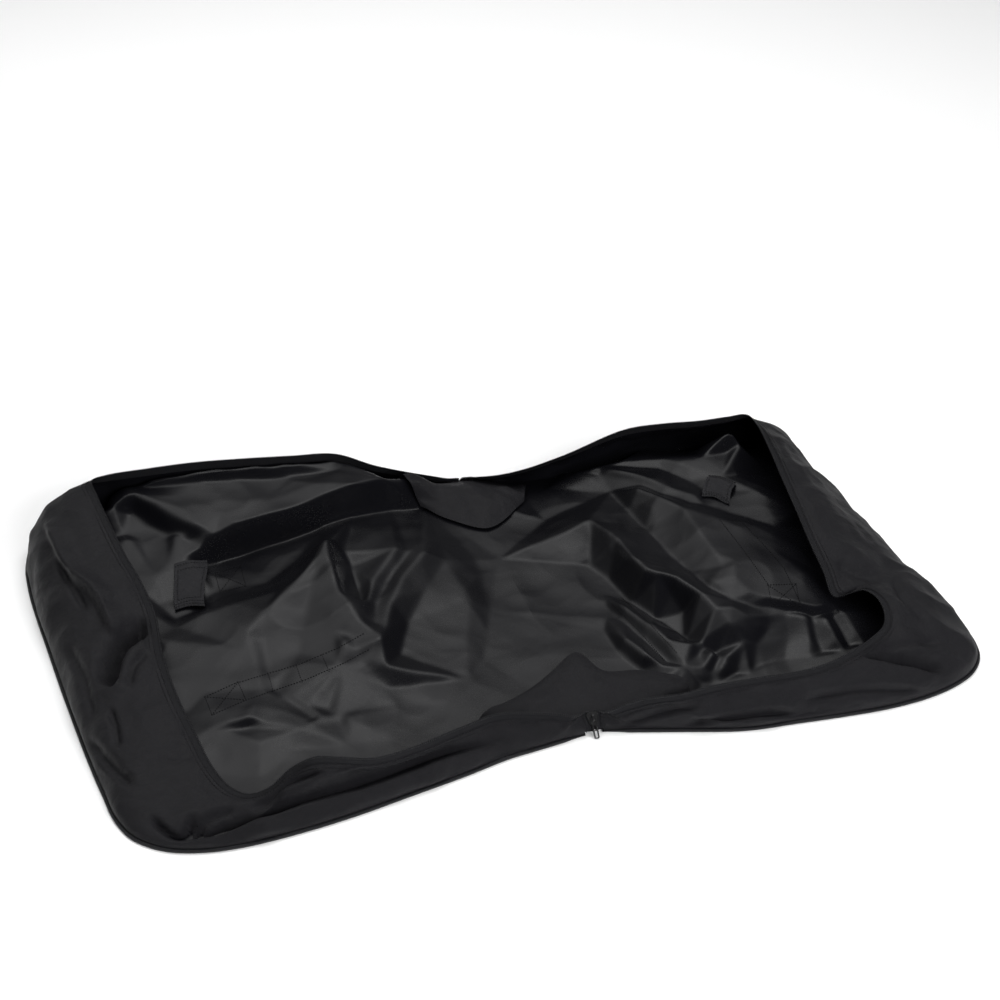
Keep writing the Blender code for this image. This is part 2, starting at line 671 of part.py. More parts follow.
def tooth_row(name, side, end, looks):
    """The coil as a core with teeth that reach between those of the other row."""
    foot, rise, face = zip_frame(end)
    points, across, faces, straight = row_path(side, end)
    out = Vector((side, 0, 0))
    first = STOP_LENGTH + GAP
    place = first
    stations = []
    if side > 0:
        place += TOOTH_PITCH / 2
        stations.append((first, 0))
    while place < ROW_STRAIGHT_END - TOOTH_PITCH:
        at_start = side < 0 and place == first
        stations += [
            (place, TOOTH_REACH if at_start else 0),
            (place + TOOTH_SLOPE, TOOTH_REACH),
            (place + TOOTH_SLOPE + TOOTH_LENGTH, TOOTH_REACH),
            (place + 2 * TOOTH_SLOPE + TOOTH_LENGTH, 0),
        ]
        place += TOOTH_PITCH
    stations.append((ROW_STRAIGHT_END, 0))
    path = [foot + rise * s + out * row_offset(s) for s, reach in stations] + points[straight:]
    sides = [out] * len(stations) + across[straight:]
    inner = [-reach for s, reach in stations] + [0] * (len(points) - straight)
    return ribbon(name, path, sides, [face] * len(path), inner, COIL_WIDTH, COIL_THICK, looks["coil"])


def make_zip_end(end, looks):
    """Tapes, teeth, stop and gores at one end of the bottom."""
    foot, rise, face = zip_frame(end)
    near = end == "near"
    notch_y = NEAR_NOTCH_Y if near else FAR_NOTCH_Y
    inward = Vector((0, 1 if near else -1, 0))
    tape_start = COIL_WIDTH + GAP
    tape_end = tape_start + TAPE_WIDTH
    low_z = BOTTOM_THICK + GAP

    for name, half in halves.items():
        side = half["side"]
        points, across, faces, straight = row_path(side, end)
        tape_name = end + "_zip_tape_" + name
        ribbon(tape_name, points, across, faces, tape_start, tape_end, TAPE_THICK, looks["tape"])
        tooth_row(end + "_zip_teeth_" + name, side, end, looks)

        seam_y = half["foldNearY"] if near else half["foldFarY"]
        top = [p + a * (tape_end + GAP) for p, a in zip(points, across)]
        low_start = Vector((top[0].x, notch_y, low_z))
        low_end = Vector((side * (foldX - foldClear - WALL_FOOT_INSET), seam_y, low_z))
        upper, lower = [], []
        for k, edge in enumerate(top):
            low = low_start.lerp(low_end, k / (len(top) - 1))
            middle = (low + edge) / 2
            upper.append([low, middle, edge])
            cloth = inward * CLOTH_THICK
            lower.append([low + cloth, middle + cloth, edge - face * CLOTH_THICK])
        shell(end + "_gore_" + name, upper, lower, looks["woven"])

    block = [foot + rise * s for s in (0, STOP_LENGTH)]
    along_x = [Vector((1, 0, 0))] * 2
    stop_half = ROW_OFFSET + COIL_WIDTH
    ribbon(end + "_zip_stop", block, along_x, [face] * 2, -stop_half, stop_half, STOP_THICK, looks["metal"])

    flap_inset = NEAR_FLAP_INSET if near else FAR_FLAP_INSET
    flap_y = notch_y + inward.y * flap_inset
    tip_y = flap_y + inward.y * FLAP_DEPTH
    root_z = low_z + FLAP_FOLD_THICK
    tip_z = low_z + CLOTH_THICK
    upper = [
        [Vector((-FLAP_LEFT, flap_y, root_z)), Vector((FLAP_TIP_SHIFT - FLAP_TIP / 2, tip_y, tip_z))],
        [Vector((FLAP_RIGHT, flap_y, root_z)), Vector((FLAP_TIP_SHIFT + FLAP_TIP / 2, tip_y, tip_z))],
    ]
    lower = [[Vector((p.x, p.y, low_z)) for p in row] for row in upper]
    shell(end + "_end_flap", upper, lower, looks["woven"])


def tilted_prism(name, outline, low, high, centre, material, hidden=False):
    """A flat piece in the zipper's plane: the outline is given across and up the zipper."""
    foot, rise, face = zip_frame("near")
    bm = bmesh.new()
    layers = []
    for height in (low, high):
        level = centre + face * height
        layers.append([bm.verts.new(level + Vector((x, 0, 0)) + rise * s) for x, s in outline])
    bm.faces.new(layers[0])
    bm.faces.new(layers[1])
    for i in range(len(outline)):
        j = (i + 1) % len(outline)
        bm.faces.new((layers[0][i], layers[0][j], layers[1][j], layers[1][i]))
    part = finish(bm, name, material, centre)
    if hidden:
        part.hide_render = True
        part.display_type = "WIRE"
    return part


def boolean(part, tool, operation):
    modifier = part.modifiers.new(tool.name, "BOOLEAN")
    modifier.operation = operation
    modifier.solver = "EXACT"
    modifier.object = tool


def round_outline(corners, rounding, steps=3):
    """A closed outline with each corner cut by a curve."""
    points = []
    count = len(corners)
    for i in range(count):
        corner = Vector(corners[i])
        before = Vector(corners[i - 1])
        after = Vector(corners[(i + 1) % count])
        into = corner + (before - corner).normalized() * rounding
        out = corner + (after - corner).normalized() * rounding
        for k in range(steps + 1):
            t = k / steps
            points.append(into.lerp(corner, t).lerp(corner.lerp(out, t), t))
    return [(p.x, p.y) for p in points]


def make_slider(looks):
    """Two plates joined by a neck, with side walls that leave a slot for each tape."""
    foot, rise, face = zip_frame("near")
    tail = STOP_LENGTH + GAP
    mouth = tail + SLIDER_LENGTH
    middle = (tail + mouth) / 2
    centre = foot + rise * middle
    half_length = SLIDER_LENGTH / 2
    channel_tail = row_offset(tail + SLIDER_TRAVEL) + COIL_WIDTH + SLIDER_FIT
    channel_mouth = row_offset(mouth + SLIDER_TRAVEL) + COIL_WIDTH + SLIDER_FIT
    channel_high = COIL_THICK / 2 + SLIDER_FIT
    slot_high = TAPE_THICK / 2 + SLIDER_FIT
    body_high = channel_high + SLIDER_PLATE

    tail_width = channel_tail + SLIDER_WALL
    mouth_width = channel_mouth + SLIDER_WALL
    outline = round_outline([
        (-tail_width, -half_length),
        (tail_width, -half_length),
        (mouth_width, half_length * CHAMFER_START_SHARE),
        (mouth_width * CHAMFER_WIDTH_SHARE, half_length),
        (-mouth_width * CHAMFER_WIDTH_SHARE, half_length),
        (-mouth_width, half_length * CHAMFER_START_SHARE),
    ], SLIDER_ROUNDING)
    body = tilted_prism("slider_body", outline, -body_high, body_high, centre, looks["metal"])

    channel = [
        (-channel_tail, -half_length - OVERRUN),
        (channel_tail, -half_length - OVERRUN),
        (channel_tail, -half_length),
        (channel_mouth, half_length),
        (channel_mouth, half_length + OVERRUN),
        (NECK_HALF_WIDTH, half_length + OVERRUN),
        (NECK_HALF_WIDTH, half_length - SLIDER_ROUNDING),
        (0, half_length - NECK_LENGTH),
        (-NECK_HALF_WIDTH, half_length - SLIDER_ROUNDING),
        (-NECK_HALF_WIDTH, half_length + OVERRUN),
        (-channel_mouth, half_length + OVERRUN),
        (-channel_mouth, half_length),
        (-channel_tail, -half_length),
    ]
    cutters = [tilted_prism(
        "cut_teeth_way", channel, -channel_high, channel_high, centre, looks["metal"], hidden=True,
    )]
    inner = channel_tail - SLIDER_WALL
    outer = mouth_width + OVERRUN
    for name, side in (("left", -1), ("right", 1)):
        slot = [
            (side * inner, -half_length - OVERRUN),
            (side * outer, -half_length - OVERRUN),
            (side * outer, half_length + OVERRUN),
            (side * inner, half_length + OVERRUN),
        ]
        cutters.append(tilted_prism(
            "cut_tape_way_" + name, slot, -slot_high, slot_high, centre, looks["metal"], hidden=True,
        ))

    bridge_base = body_high - SLIDER_PLATE / 2
    bridge_top = body_high + BRIDGE_OPENING + BRIDGE_BAR
    half_bridge = BRIDGE_LENGTH / 2
    arch = [
        (-half_bridge, bridge_base),
        (half_bridge, bridge_base),
        (half_bridge - BRIDGE_BAR / 2, bridge_top - BRIDGE_BAR / 2),
        (half_bridge - BRIDGE_BAR, bridge_top),
        (-half_bridge + BRIDGE_BAR, bridge_top),
        (-half_bridge + BRIDGE_BAR / 2, bridge_top - BRIDGE_BAR / 2),
    ]
    hole = [
        (-half_bridge + BRIDGE_BAR, body_high),
        (half_bridge - BRIDGE_BAR, body_high),
        (half_bridge - BRIDGE_BAR - BRIDGE_BAR / 2, body_high + BRIDGE_OPENING),
        (-half_bridge + BRIDGE_BAR + BRIDGE_BAR / 2, body_high + BRIDGE_OPENING),
    ]
    loop = side_prism("bridge_loop", arch, BRIDGE_WIDTH / 2, centre, looks["metal"])
    window = side_prism("cut_bridge_window", hole, BRIDGE_WIDTH, centre, looks["metal"])
    boolean(loop, window, "DIFFERENCE")
    boolean(body, loop, "UNION")
    for cutter in cutters:
        boolean(body, cutter, "DIFFERENCE")
    return centre, body_high


def side_prism(name, outline, half_width, centre, material):
    """A piece of the bridge: the outline is given up the zipper and out from its face."""
    foot, rise, face = zip_frame("near")
    bm = bmesh.new()
    layers = []
    for x in (-half_width, half_width):
        layers.append([bm.verts.new(centre + Vector((x, 0, 0)) + rise * s + face * h) for s, h in outline])
    bm.faces.new(layers[0])
    bm.faces.new(layers[1])
    for i in range(len(outline)):
        j = (i + 1) % len(outline)
        bm.faces.new((layers[0][i], layers[0][j], layers[1][j], layers[1][i]))
    part = finish(bm, name, material, centre)
    part.hide_render = True
    part.display_type = "WIRE"
    return part


def make_pull(centre, body_high, looks):
    """A flat tab with a window round the bridge and a long slot, hung on its end bar."""
    foot, rise, face = zip_frame("near")
    hinge = centre + face * (body_high + BRIDGE_OPENING / 2)
    half_thick = PULL_THICK / 2
    half_bar = PULL_BAR / 2
    half_width = PULL_WIDTH / 2
    outline = round_outline([
        (-half_width, half_bar),
        (-half_width, half_bar - PULL_LENGTH),
        (half_width, half_bar - PULL_LENGTH),
        (half_width, half_bar),
    ], half_width * PULL_ROUNDING_SHARE)
    pull = tilted_prism("pull_tab", outline, -half_thick, half_thick, hinge, looks["metal"])
    window_half = BRIDGE_WIDTH / 2 + BRIDGE_PLAY
    window = [
        (-window_half, -half_bar),
        (-window_half, -half_bar - PULL_WINDOW_LENGTH),
        (window_half, -half_bar - PULL_WINDOW_LENGTH),
        (window_half, -half_bar),
    ]
    slot_half = PULL_SLOT_WIDTH / 2
    slot = round_outline([
        (-slot_half, -PULL_SLOT_START),
        (-slot_half, half_bar - PULL_LENGTH + PULL_RIM),
        (slot_half, half_bar - PULL_LENGTH + PULL_RIM),
        (slot_half, -PULL_SLOT_START),
    ], slot_half * SLOT_ROUNDING_SHARE)
    for name, shape in (("cut_pull_window", window), ("cut_pull_slot", slot)):
        cutter = tilted_prism(name, shape, -PULL_THICK, PULL_THICK, hinge, looks["metal"], hidden=True)
        boolean(pull, cutter, "DIFFERENCE")


def main():
    clear_scene()
    looks = {
        "woven": make_material("woven_cloth", (0.017, 0.018, 0.019), 0.85),
        "coated": make_material("coated_lining", (0.022, 0.023, 0.026), 0.38),
        "webbing": make_material("black_webbing", (0.015, 0.015, 0.016), 0.75),
        "piping": make_material("piped_binding", (0.014, 0.014, 0.015), 0.6),
        "tape": make_material("zip_tape", (0.013, 0.013, 0.014), 0.8),
        "coil": make_material("zip_coil", (0.02, 0.02, 0.021), 0.45),
        "metal": make_material("black_zip_metal", (0.035, 0.035, 0.037), 0.35, 0.9),
    }
    make_bottom(looks)
    for end in ("near", "far"):
        make_zip_end(end, looks)
    centre, body_high = make_slider(looks)
    make_pull(centre, body_high, looks)
    for name, half in halves.items():
        make_half(name, half, looks)
        make_webbing(name, half, looks)


bagMiddle = floor_middle()
main()
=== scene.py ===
import math

import bpy
import numpy as np
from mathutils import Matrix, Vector, geometry, noise
from mathutils.bvhtree import BVHTree


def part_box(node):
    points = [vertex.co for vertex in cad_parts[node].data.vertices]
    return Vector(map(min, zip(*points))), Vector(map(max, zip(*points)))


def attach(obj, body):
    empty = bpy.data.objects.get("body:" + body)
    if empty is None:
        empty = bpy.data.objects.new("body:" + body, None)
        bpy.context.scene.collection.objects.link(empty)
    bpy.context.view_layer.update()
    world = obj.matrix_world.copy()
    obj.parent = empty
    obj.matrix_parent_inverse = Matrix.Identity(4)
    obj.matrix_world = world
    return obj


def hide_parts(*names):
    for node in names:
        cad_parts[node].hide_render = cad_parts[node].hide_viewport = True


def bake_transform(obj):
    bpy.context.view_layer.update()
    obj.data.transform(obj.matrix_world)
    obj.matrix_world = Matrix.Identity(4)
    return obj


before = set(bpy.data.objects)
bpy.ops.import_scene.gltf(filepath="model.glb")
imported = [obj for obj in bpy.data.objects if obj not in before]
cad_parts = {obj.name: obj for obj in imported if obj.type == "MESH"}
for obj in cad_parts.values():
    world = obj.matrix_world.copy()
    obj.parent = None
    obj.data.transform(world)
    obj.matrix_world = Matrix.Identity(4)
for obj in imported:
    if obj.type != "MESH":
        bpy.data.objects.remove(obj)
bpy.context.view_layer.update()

# The camera stands where the photograph was taken from.
view = {
    "place": (-0.7308, -2.3080, 1.8274),
    "aim": (0.1064, 0.2687, 0.0),
    "lens": 72.0,
    "sensor": 36,
    "frame": 1000,  # the photograph's width and height in pixels
}

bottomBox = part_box("bottom_panel")
notch = np.array([(bottomBox[0].x + bottomBox[1].x) / 2, bottomBox[0].y + 0.064, 0])  # where the zipper starts


def viewAxes():
    ahead = (Vector(view["aim"]) - Vector(view["place"])).normalized()
    right = ahead.cross(Vector((0, 0, 1))).normalized()
    return [np.array(a) for a in (right, right.cross(ahead), ahead)]


def sightLine(u, v):
    # the way from the camera through pixel (u, v)
    right, up, ahead = viewAxes()
    middle = view["frame"] / 2
    return ahead * view["lens"] / view["sensor"] * view["frame"] + right * (u - middle) - up * (v - middle)


def at(u, v, z=0.0):
    # the point at height z that the photograph shows at pixel (u, v)
    place, ray = np.array(view["place"]), sightLine(u, v)
    return place + ray * ((z - place[2]) / ray[2])


def pixels(points):
    # where the photograph shows each of the points
    right, up, ahead = viewAxes()
    reach = view["lens"] / view["sensor"] * view["frame"]
    middle = view["frame"] / 2
    rays = points - np.array(view["place"])
    deep = rays @ ahead
    return np.stack([middle + reach * (rays @ right) / deep, middle - reach * (rays @ up) / deep], axis=-1)


def lay(x, y, z=0.0):
    # a point given from the zipper's notch
    return notch + (x, y, z)


# Ways, folds and grids
def smoothWay(way, steps=6):
    # a smooth curve through the way's points, and through any values that they carry
    way = np.array(way, float)
    runs = np.linalg.norm(np.diff(way, axis=0), axis=1)[:, None]
    slopes = np.diff(way, axis=0) / runs
    inner = (slopes[1:] * runs[:-1] + slopes[:-1] * runs[1:]) / (runs[1:] + runs[:-1])
    slopes = np.vstack([slopes[:1], inner, slopes[-1:]])
    points = []
    for k in range(len(way) - 1):
        for t in np.arange(steps) / steps:
            points.append(
                way[k] * (1 + 2 * t) * (1 - t) ** 2
                + way[k + 1] * t * t * (3 - 2 * t)
                + runs[k] * (slopes[k] * t * (1 - t) ** 2 - slopes[k + 1] * t * t * (1 - t))
            )
    points.append(way[-1])
    return np.array(points)


def resample(way, shares, measured=3):
    runs = np.linalg.norm(np.diff(way[:, :measured], axis=0), axis=1)
    reached = np.concatenate([[0], np.cumsum(runs)]) / runs.sum()
    return np.stack([np.interp(shares, reached, way[:, k]) for k in range(way.shape[1])], 1)


def nearWay(points, way):
    # distance from the way, the side of it as plus or minus one, and the share along it
    way = np.array(way, float)[:, :2]
    runs = np.hypot(*np.diff(way, axis=0).T)
    reached = np.concatenate([[0], np.cumsum(runs)])
    best = np.full(len(points), np.inf)
    side = np.zeros(len(points))
    share = np.zeros(len(points))
    for k in range(len(way) - 1):
        step = way[k + 1] - way[k]
        gap = points - way[k]
        t = np.clip(gap @ step / max(step @ step, 1e-12), 0, 1)
        away = gap - t[:, None] * step
        far = np.hypot(away[:, 0], away[:, 1])
        closer = far < best
        best[closer] = far[closer]
        side[closer] = np.sign(step[0] * gap[:, 1] - step[1] * gap[:, 0])[closer]
        share[closer] = ((reached[k] + t * runs[k]) / reached[-1])[closer]
    return best, side, share


def unit(ways):
    return ways / np.linalg.norm(ways, axis=-1, keepdims=True)


def ease(x):
    x = np.clip(x, 0, 1)
    return x * x * (3 - 2 * x)


def ripple(points, size, seed):
    # soft waves of about that size, from -1 to 1
    shift = Vector((seed, -seed, 0.4 * seed))
    return np.array([noise.noise(Vector(p) / size + shift) for p in points])


def crumple(points, waves):
    # soft waves, or where a wave is sharp, ridges along the lines on which it crosses zero
    total = np.zeros(len(points))
    for wave in waves:
        swell = ripple(points, wave["size"], wave["seed"])
        total += wave["depth"] * ((0.30 - np.abs(swell)) if wave["sharp"] else swell)
    return total


def waveList(*rows):
    return [dict(zip(("size", "seed", "depth", "sharp"), row)) for row in rows]


def blur(grid, passes):
    for _ in range(passes):
        for axis in (0, 1):
            before = np.take(grid, [0] + list(range(grid.shape[axis] - 1)), axis=axis)
            after = np.take(grid, list(range(1, grid.shape[axis])) + [-1], axis=axis)
            grid = grid * 0.5 + (before + after) * 0.25
    return grid


def facetHeights(points, lines):
    # heights over the points: flat facets between the lines, whose points carry a height
    places, edges = [], []
    for line in lines:
        start = len(places)
        places += [tuple(p) for p in line]
        edges += [(start + k, start + k + 1) for k in range(len(line) - 1)]
    heights = np.array([p[2] for p in places])
    flat = np.array([p[:2] for p in places])
    made = geometry.delaunay_2d_cdt([Vector(p[:2]) for p in places], edges, [], 0, 1e-5)
    corners = np.array([tuple(v) for v in made[0]])
    level = np.array([heights[list(source)].mean() if source else np.nan for source in made[3]])
    for k in np.flatnonzero(np.isnan(level)):  # where two lines cross
        gaps = np.hypot(*(flat - corners[k]).T)
        near = np.argsort(gaps)[:4]
        level[k] = np.average(heights[near], weights=1 / (gaps[near] + 1e-4))
    total = np.full(len(points), np.nan)
    for face in made[2]:
        a, b, c = corners[list(face[:3])]
        low, high = np.minimum(np.minimum(a, b), c), np.maximum(np.maximum(a, b), c)
        inside = np.flatnonzero(np.all((points >= low - 1e-6) & (points <= high + 1e-6), axis=1))
        area = (b[0] - a[0]) * (c[1] - a[1]) - (c[0] - a[0]) * (b[1] - a[1])
        if not len(inside) or abs(area) < 1e-14:
            continue
        gap = points[inside] - a
        s = (gap[:, 0] * (c[1] - a[1]) - (c[0] - a[0]) * gap[:, 1]) / area
        t = ((b[0] - a[0]) * gap[:, 1] - gap[:, 0] * (b[1] - a[1])) / area
        held = (s >= -1e-6) & (t >= -1e-6) & (s + t <= 1 + 1e-6)
        z = level[list(face[:3])]
        total[inside[held]] = (z[0] + s * (z[1] - z[0]) + t * (z[2] - z[0]))[held]
    total[np.isnan(total)] = heights.min()
    return total


# Making meshes
def placed(name, data):
    piece = bpy.data.objects.new(name, data)
    bpy.context.collection.objects.link(piece)
    return piece


def makePiece(name, points, faces, materials, faceSlots=None, maps=None, crisp=None):
    # crisp holds the points round a sheet's rims, where the shading doesn't run over the edge
    mesh = bpy.data.meshes.new(name)
    mesh.from_pydata(np.asarray(points).tolist(), [], faces if isinstance(faces, list) else faces.tolist())
    for material in materials:
        mesh.materials.append(material)
    if faceSlots is not None:
        mesh.polygons.foreach_set("material_index", np.array(faceSlots, np.int32))
    if maps is not None:
        layer = mesh.uv_layers.new(name="clothMap")
        corners = np.empty(len(mesh.loops), np.int32)
        mesh.loops.foreach_get("vertex_index", corners)
        layer.data.foreach_set("uv", np.array(maps, np.float32)[corners].ravel())
    mesh.polygons.foreach_set("use_smooth", np.ones(len(mesh.polygons), bool))
    mesh.update()
    if crisp is not None:
        ends = np.empty(len(mesh.edges) * 2, np.int32)
        mesh.edges.foreach_get("vertices", ends)
        onRim = np.isin(ends, crisp).reshape(-1, 2).all(axis=1)
        crossing = np.abs(np.diff(ends.reshape(-1, 2), axis=1))[:, 0] == len(points) // 2
        sharp = mesh.attributes.new("sharp_edge", "BOOLEAN", "EDGE")
        sharp.data.foreach_set("value", onRim & ~crossing)
    return placed(name, mesh)


def gridFaces(rows, columns):
    i, j = np.meshgrid(np.arange(rows - 1), np.arange(columns - 1), indexing="ij")
    a = (i * columns + j).ravel()
    return np.stack([a, a + columns, a + columns + 1, a + 1], 1)


def gridNormals(grid):
    normals = np.cross(np.gradient(grid, axis=0), np.gradient(grid, axis=1))
    return normals / np.maximum(np.linalg.norm(normals, axis=2, keepdims=True), 1e-12)


def raised(flat, height):
    return np.concatenate([flat, height[..., None]], axis=2)


def facingUp(grid):
    return grid[::-1] if gridNormals(grid)[..., 2].mean() < 0 else grid


def makeSheet(name, grid, thick, face, back):
    # a closed sheet whose face is the grid, with its back behind it
    rows, columns = grid.shape[:2]
    points = np.concatenate([grid.reshape(-1, 3), (grid - gridNormals(grid) * thick).reshape(-1, 3)])
    front = gridFaces(rows, columns)
    count = rows * columns
    border = [k * columns for k in range(rows)] + [(rows - 1) * columns + k for k in range(1, columns)]
    border += [k * columns + columns - 1 for k in range(rows - 2, -1, -1)] + list(range(columns - 2, 0, -1))
    border = np.array(border)
    after = np.roll(border, -1)
    rims = np.stack([after, border, border + count, after + count], 1)
    faces = np.concatenate([front, front[:, ::-1] + count, rims])
    slots = np.concatenate([np.zeros(len(front)), np.ones(len(front) + len(border))])
    runU = np.linalg.norm(np.diff(grid, axis=0), axis=2).mean(axis=1)
    runV = np.linalg.norm(np.diff(grid, axis=1), axis=2).mean(axis=0)
    u, v = np.meshgrid(*(np.concatenate([[0], np.cumsum(runs)]) for runs in (runU, runV)), indexing="ij")
    maps = np.tile(np.stack([u.ravel(), v.ravel()], 1), (2, 1))
    return makePiece(name, points, faces, [face, back], slots, maps, crisp=np.concatenate([border, border + count]))


# Materials: what a cloth's surface is given, lengths in metres
surfaceSizes = ("Pitch", "Yarn Depth", "Crease Size", "Crease Depth", "Patchiness")


def nodeGroup(name, kind, inputs, outputs):
    # a new group with its sockets, each given as a label and a type
    group = bpy.data.node_groups.new(name, kind)
    for side, sockets in (("INPUT", inputs), ("OUTPUT", outputs)):
        for label, what in sockets:
            group.interface.new_socket(label, in_out=side, socket_type="NodeSocket" + what)
    return group, group.nodes.new("NodeGroupInput"), group.nodes.new("NodeGroupOutput")


def joined(group, kind, settings, *sources, **named):
    # a new node with its settings and with what feeds its inputs, in order or by name
    node = group.nodes.new(kind)
    for key, value in settings.items():
        setattr(node, key, value)
    for socket, source in [*zip(node.inputs, sources), *((node.inputs[label], s) for label, s in named.items())]:
        if isinstance(source, bpy.types.NodeSocket):
            group.links.new(source, socket)
        else:
            socket.default_value = source
    return node


def clothGroup():
    # yarns, creases and patchy shade: the weave follows the sheet's own map, the rest its place
    group, given, result = nodeGroup(
        "clothSurface", "ShaderNodeTree",
        [("Map", "Vector"), ("Place", "Vector")] + [(label, "Float") for label in surfaceSizes],
        [("Shade", "Float"), ("Mottle", "Float"), ("Normal", "Vector")],
    )

    def maths(operation, *sources):
        return joined(group, "ShaderNodeMath", {"operation": operation}, *sources).outputs[0]

    scaled = joined(group, "ShaderNodeVectorMath", {"operation": "SCALE"}, given.outputs["Map"],
                    Scale=maths("DIVIDE", 6.2832, given.outputs["Pitch"]))
    axes = joined(group, "ShaderNodeSeparateXYZ", {}, scaled.outputs[0])
    yarn = maths("MULTIPLY", maths("SINE", axes.outputs["X"]), maths("SINE", axes.outputs["Y"]))

    def grain(size, detail):
        scale = maths("DIVIDE", 1.0, size) if isinstance(size, bpy.types.NodeSocket) else 1 / size
        noisy = joined(group, "ShaderNodeTexNoise", {}, given.outputs["Place"], Scale=scale, Detail=detail)
        return noisy.outputs["Fac"]

    crease = maths("ABSOLUTE", maths("SUBTRACT", grain(given.outputs["Crease Size"], 3.0), 0.5))
    small = maths("ABSOLUTE", maths("SUBTRACT", grain(0.005, 2.0), 0.5))
    folds = maths("ADD", crease, maths("MULTIPLY", small, 0.05))
    patches = maths("ADD", maths("MULTIPLY", grain(0.11, 2.0), 0.7), maths("MULTIPLY", grain(0.004, 1.0), 0.3))
    spread = maths("MULTIPLY", maths("SUBTRACT", patches, 0.5), given.outputs["Patchiness"])
    group.links.new(maths("ADD", maths("MULTIPLY", spread, 2.0), 1.0), result.inputs["Shade"])
    group.links.new(maths("SUBTRACT", patches, 0.5), result.inputs["Mottle"])
    wide = joined(group, "ShaderNodeBump", {}, Distance=given.outputs["Crease Depth"], Height=folds)
    fine = joined(group, "ShaderNodeBump", {}, Distance=given.outputs["Yarn Depth"], Height=yarn,
                  Normal=wide.outputs[0])
    group.links.new(fine.outputs[0], result.inputs["Normal"])
    return group


clothSurface = clothGroup()


def makeCloth(name, look, mapped=True):
    material = bpy.data.materials.new(name)
    material.use_nodes = True
    tree = material.node_tree
    shader = tree.nodes["Principled BSDF"]
    place = tree.nodes.new("ShaderNodeTexCoord")
    surface = tree.nodes.new("ShaderNodeGroup")
    surface.node_tree = clothSurface
    if mapped:
        ownMap = tree.nodes.new("ShaderNodeUVMap")
        ownMap.uv_map = "clothMap"
        tree.links.new(ownMap.outputs["UV"], surface.inputs["Map"])
    else:
        tree.links.new(place.outputs["Object"], surface.inputs["Map"])
    tree.links.new(place.outputs["Object"], surface.inputs["Place"])
    for label, value in zip(surfaceSizes, look["surface"]):
        surface.inputs[label].default_value = value
    tint = joined(tree, "ShaderNodeVectorMath", {"operation": "SCALE"}, look["colour"],
                  Scale=surface.outputs["Shade"])
    tree.links.new(tint.outputs[0], shader.inputs["Base Color"])
    rough = joined(tree, "ShaderNodeMath", {"operation": "MULTIPLY_ADD"}, surface.outputs["Mottle"], 0.25,
                   look["roughness"])
    tree.links.new(rough.outputs[0], shader.inputs["Roughness"])
    tree.links.new(surface.outputs["Normal"], shader.inputs["Normal"])
    for label, value in look["shader"].items():
        shader.inputs[label].default_value = value
    return material


looks = {
    "coated": {"colour": (0.0036, 0.0036, 0.0046), "roughness": 0.29, "shader": {"Specular IOR Level": 0.42},
               "surface": (0.0012, 0.000003, 0.040, 0.0005, 0.25)},
    "woven": {"colour": (0.0092, 0.0090, 0.0103), "roughness": 0.62, "shader": {"Specular IOR Level": 0.28},
              "surface": (0.0011, 0.00006, 0.030, 0.0034, 0.30)},
    "webbing": {"colour": (0.0160, 0.0158, 0.0175), "roughness": 0.62, "shader": {"Specular IOR Level": 0.3},
                "surface": (0.0022, 0.00025, 0.05, 0.0006, 0.2)},
    "tape": {"colour": (0.0100, 0.0100, 0.0112), "roughness": 0.75, "shader": {"Specular IOR Level": 0.25},
             "surface": (0.0013, 0.00012, 0.04, 0.0004, 0.2)},
    "nylon": {"colour": (0.0120, 0.0120, 0.0132), "roughness": 0.45, "shader": {"Specular IOR Level": 0.5},
              "surface": (0.0005, 0.00001, 0.01, 0.0001, 0.2)},
    "thread": {"colour": (0.0060, 0.0060, 0.0068), "roughness": 0.60, "shader": {"Specular IOR Level": 0.3},
               "surface": (0.0006, 0.00002, 0.01, 0.0001, 0.2)},
    "piping": {"colour": (0.0115, 0.0115, 0.0128), "roughness": 0.58, "shader": {"Specular IOR Level": 0.35},
               "surface": (0.0010, 0.00006, 0.02, 0.0004, 0.2)},
    "metal": {"colour": (0.17, 0.17, 0.175), "roughness": 0.28, "shader": {"Metallic": 0.95},
              "surface": (0.0010, 0.0, 0.004, 0.00006, 0.3)},
}
coated = makeCloth("coatedLining", looks["coated"])
woven = makeCloth("wovenCloth", looks["woven"])
webbing = makeCloth("ribbedWebbing", looks["webbing"])
tapeKnit = makeCloth("zipperTape", looks["tape"])
nylon = makeCloth("coilNylon", looks["nylon"], False)
thread = makeCloth("sewingThread", looks["thread"], False)
pipingCloth = makeCloth("pipingCloth", looks["piping"], False)
metal = makeCloth("sliderMetal", looks["metal"], False)
print("materials made")


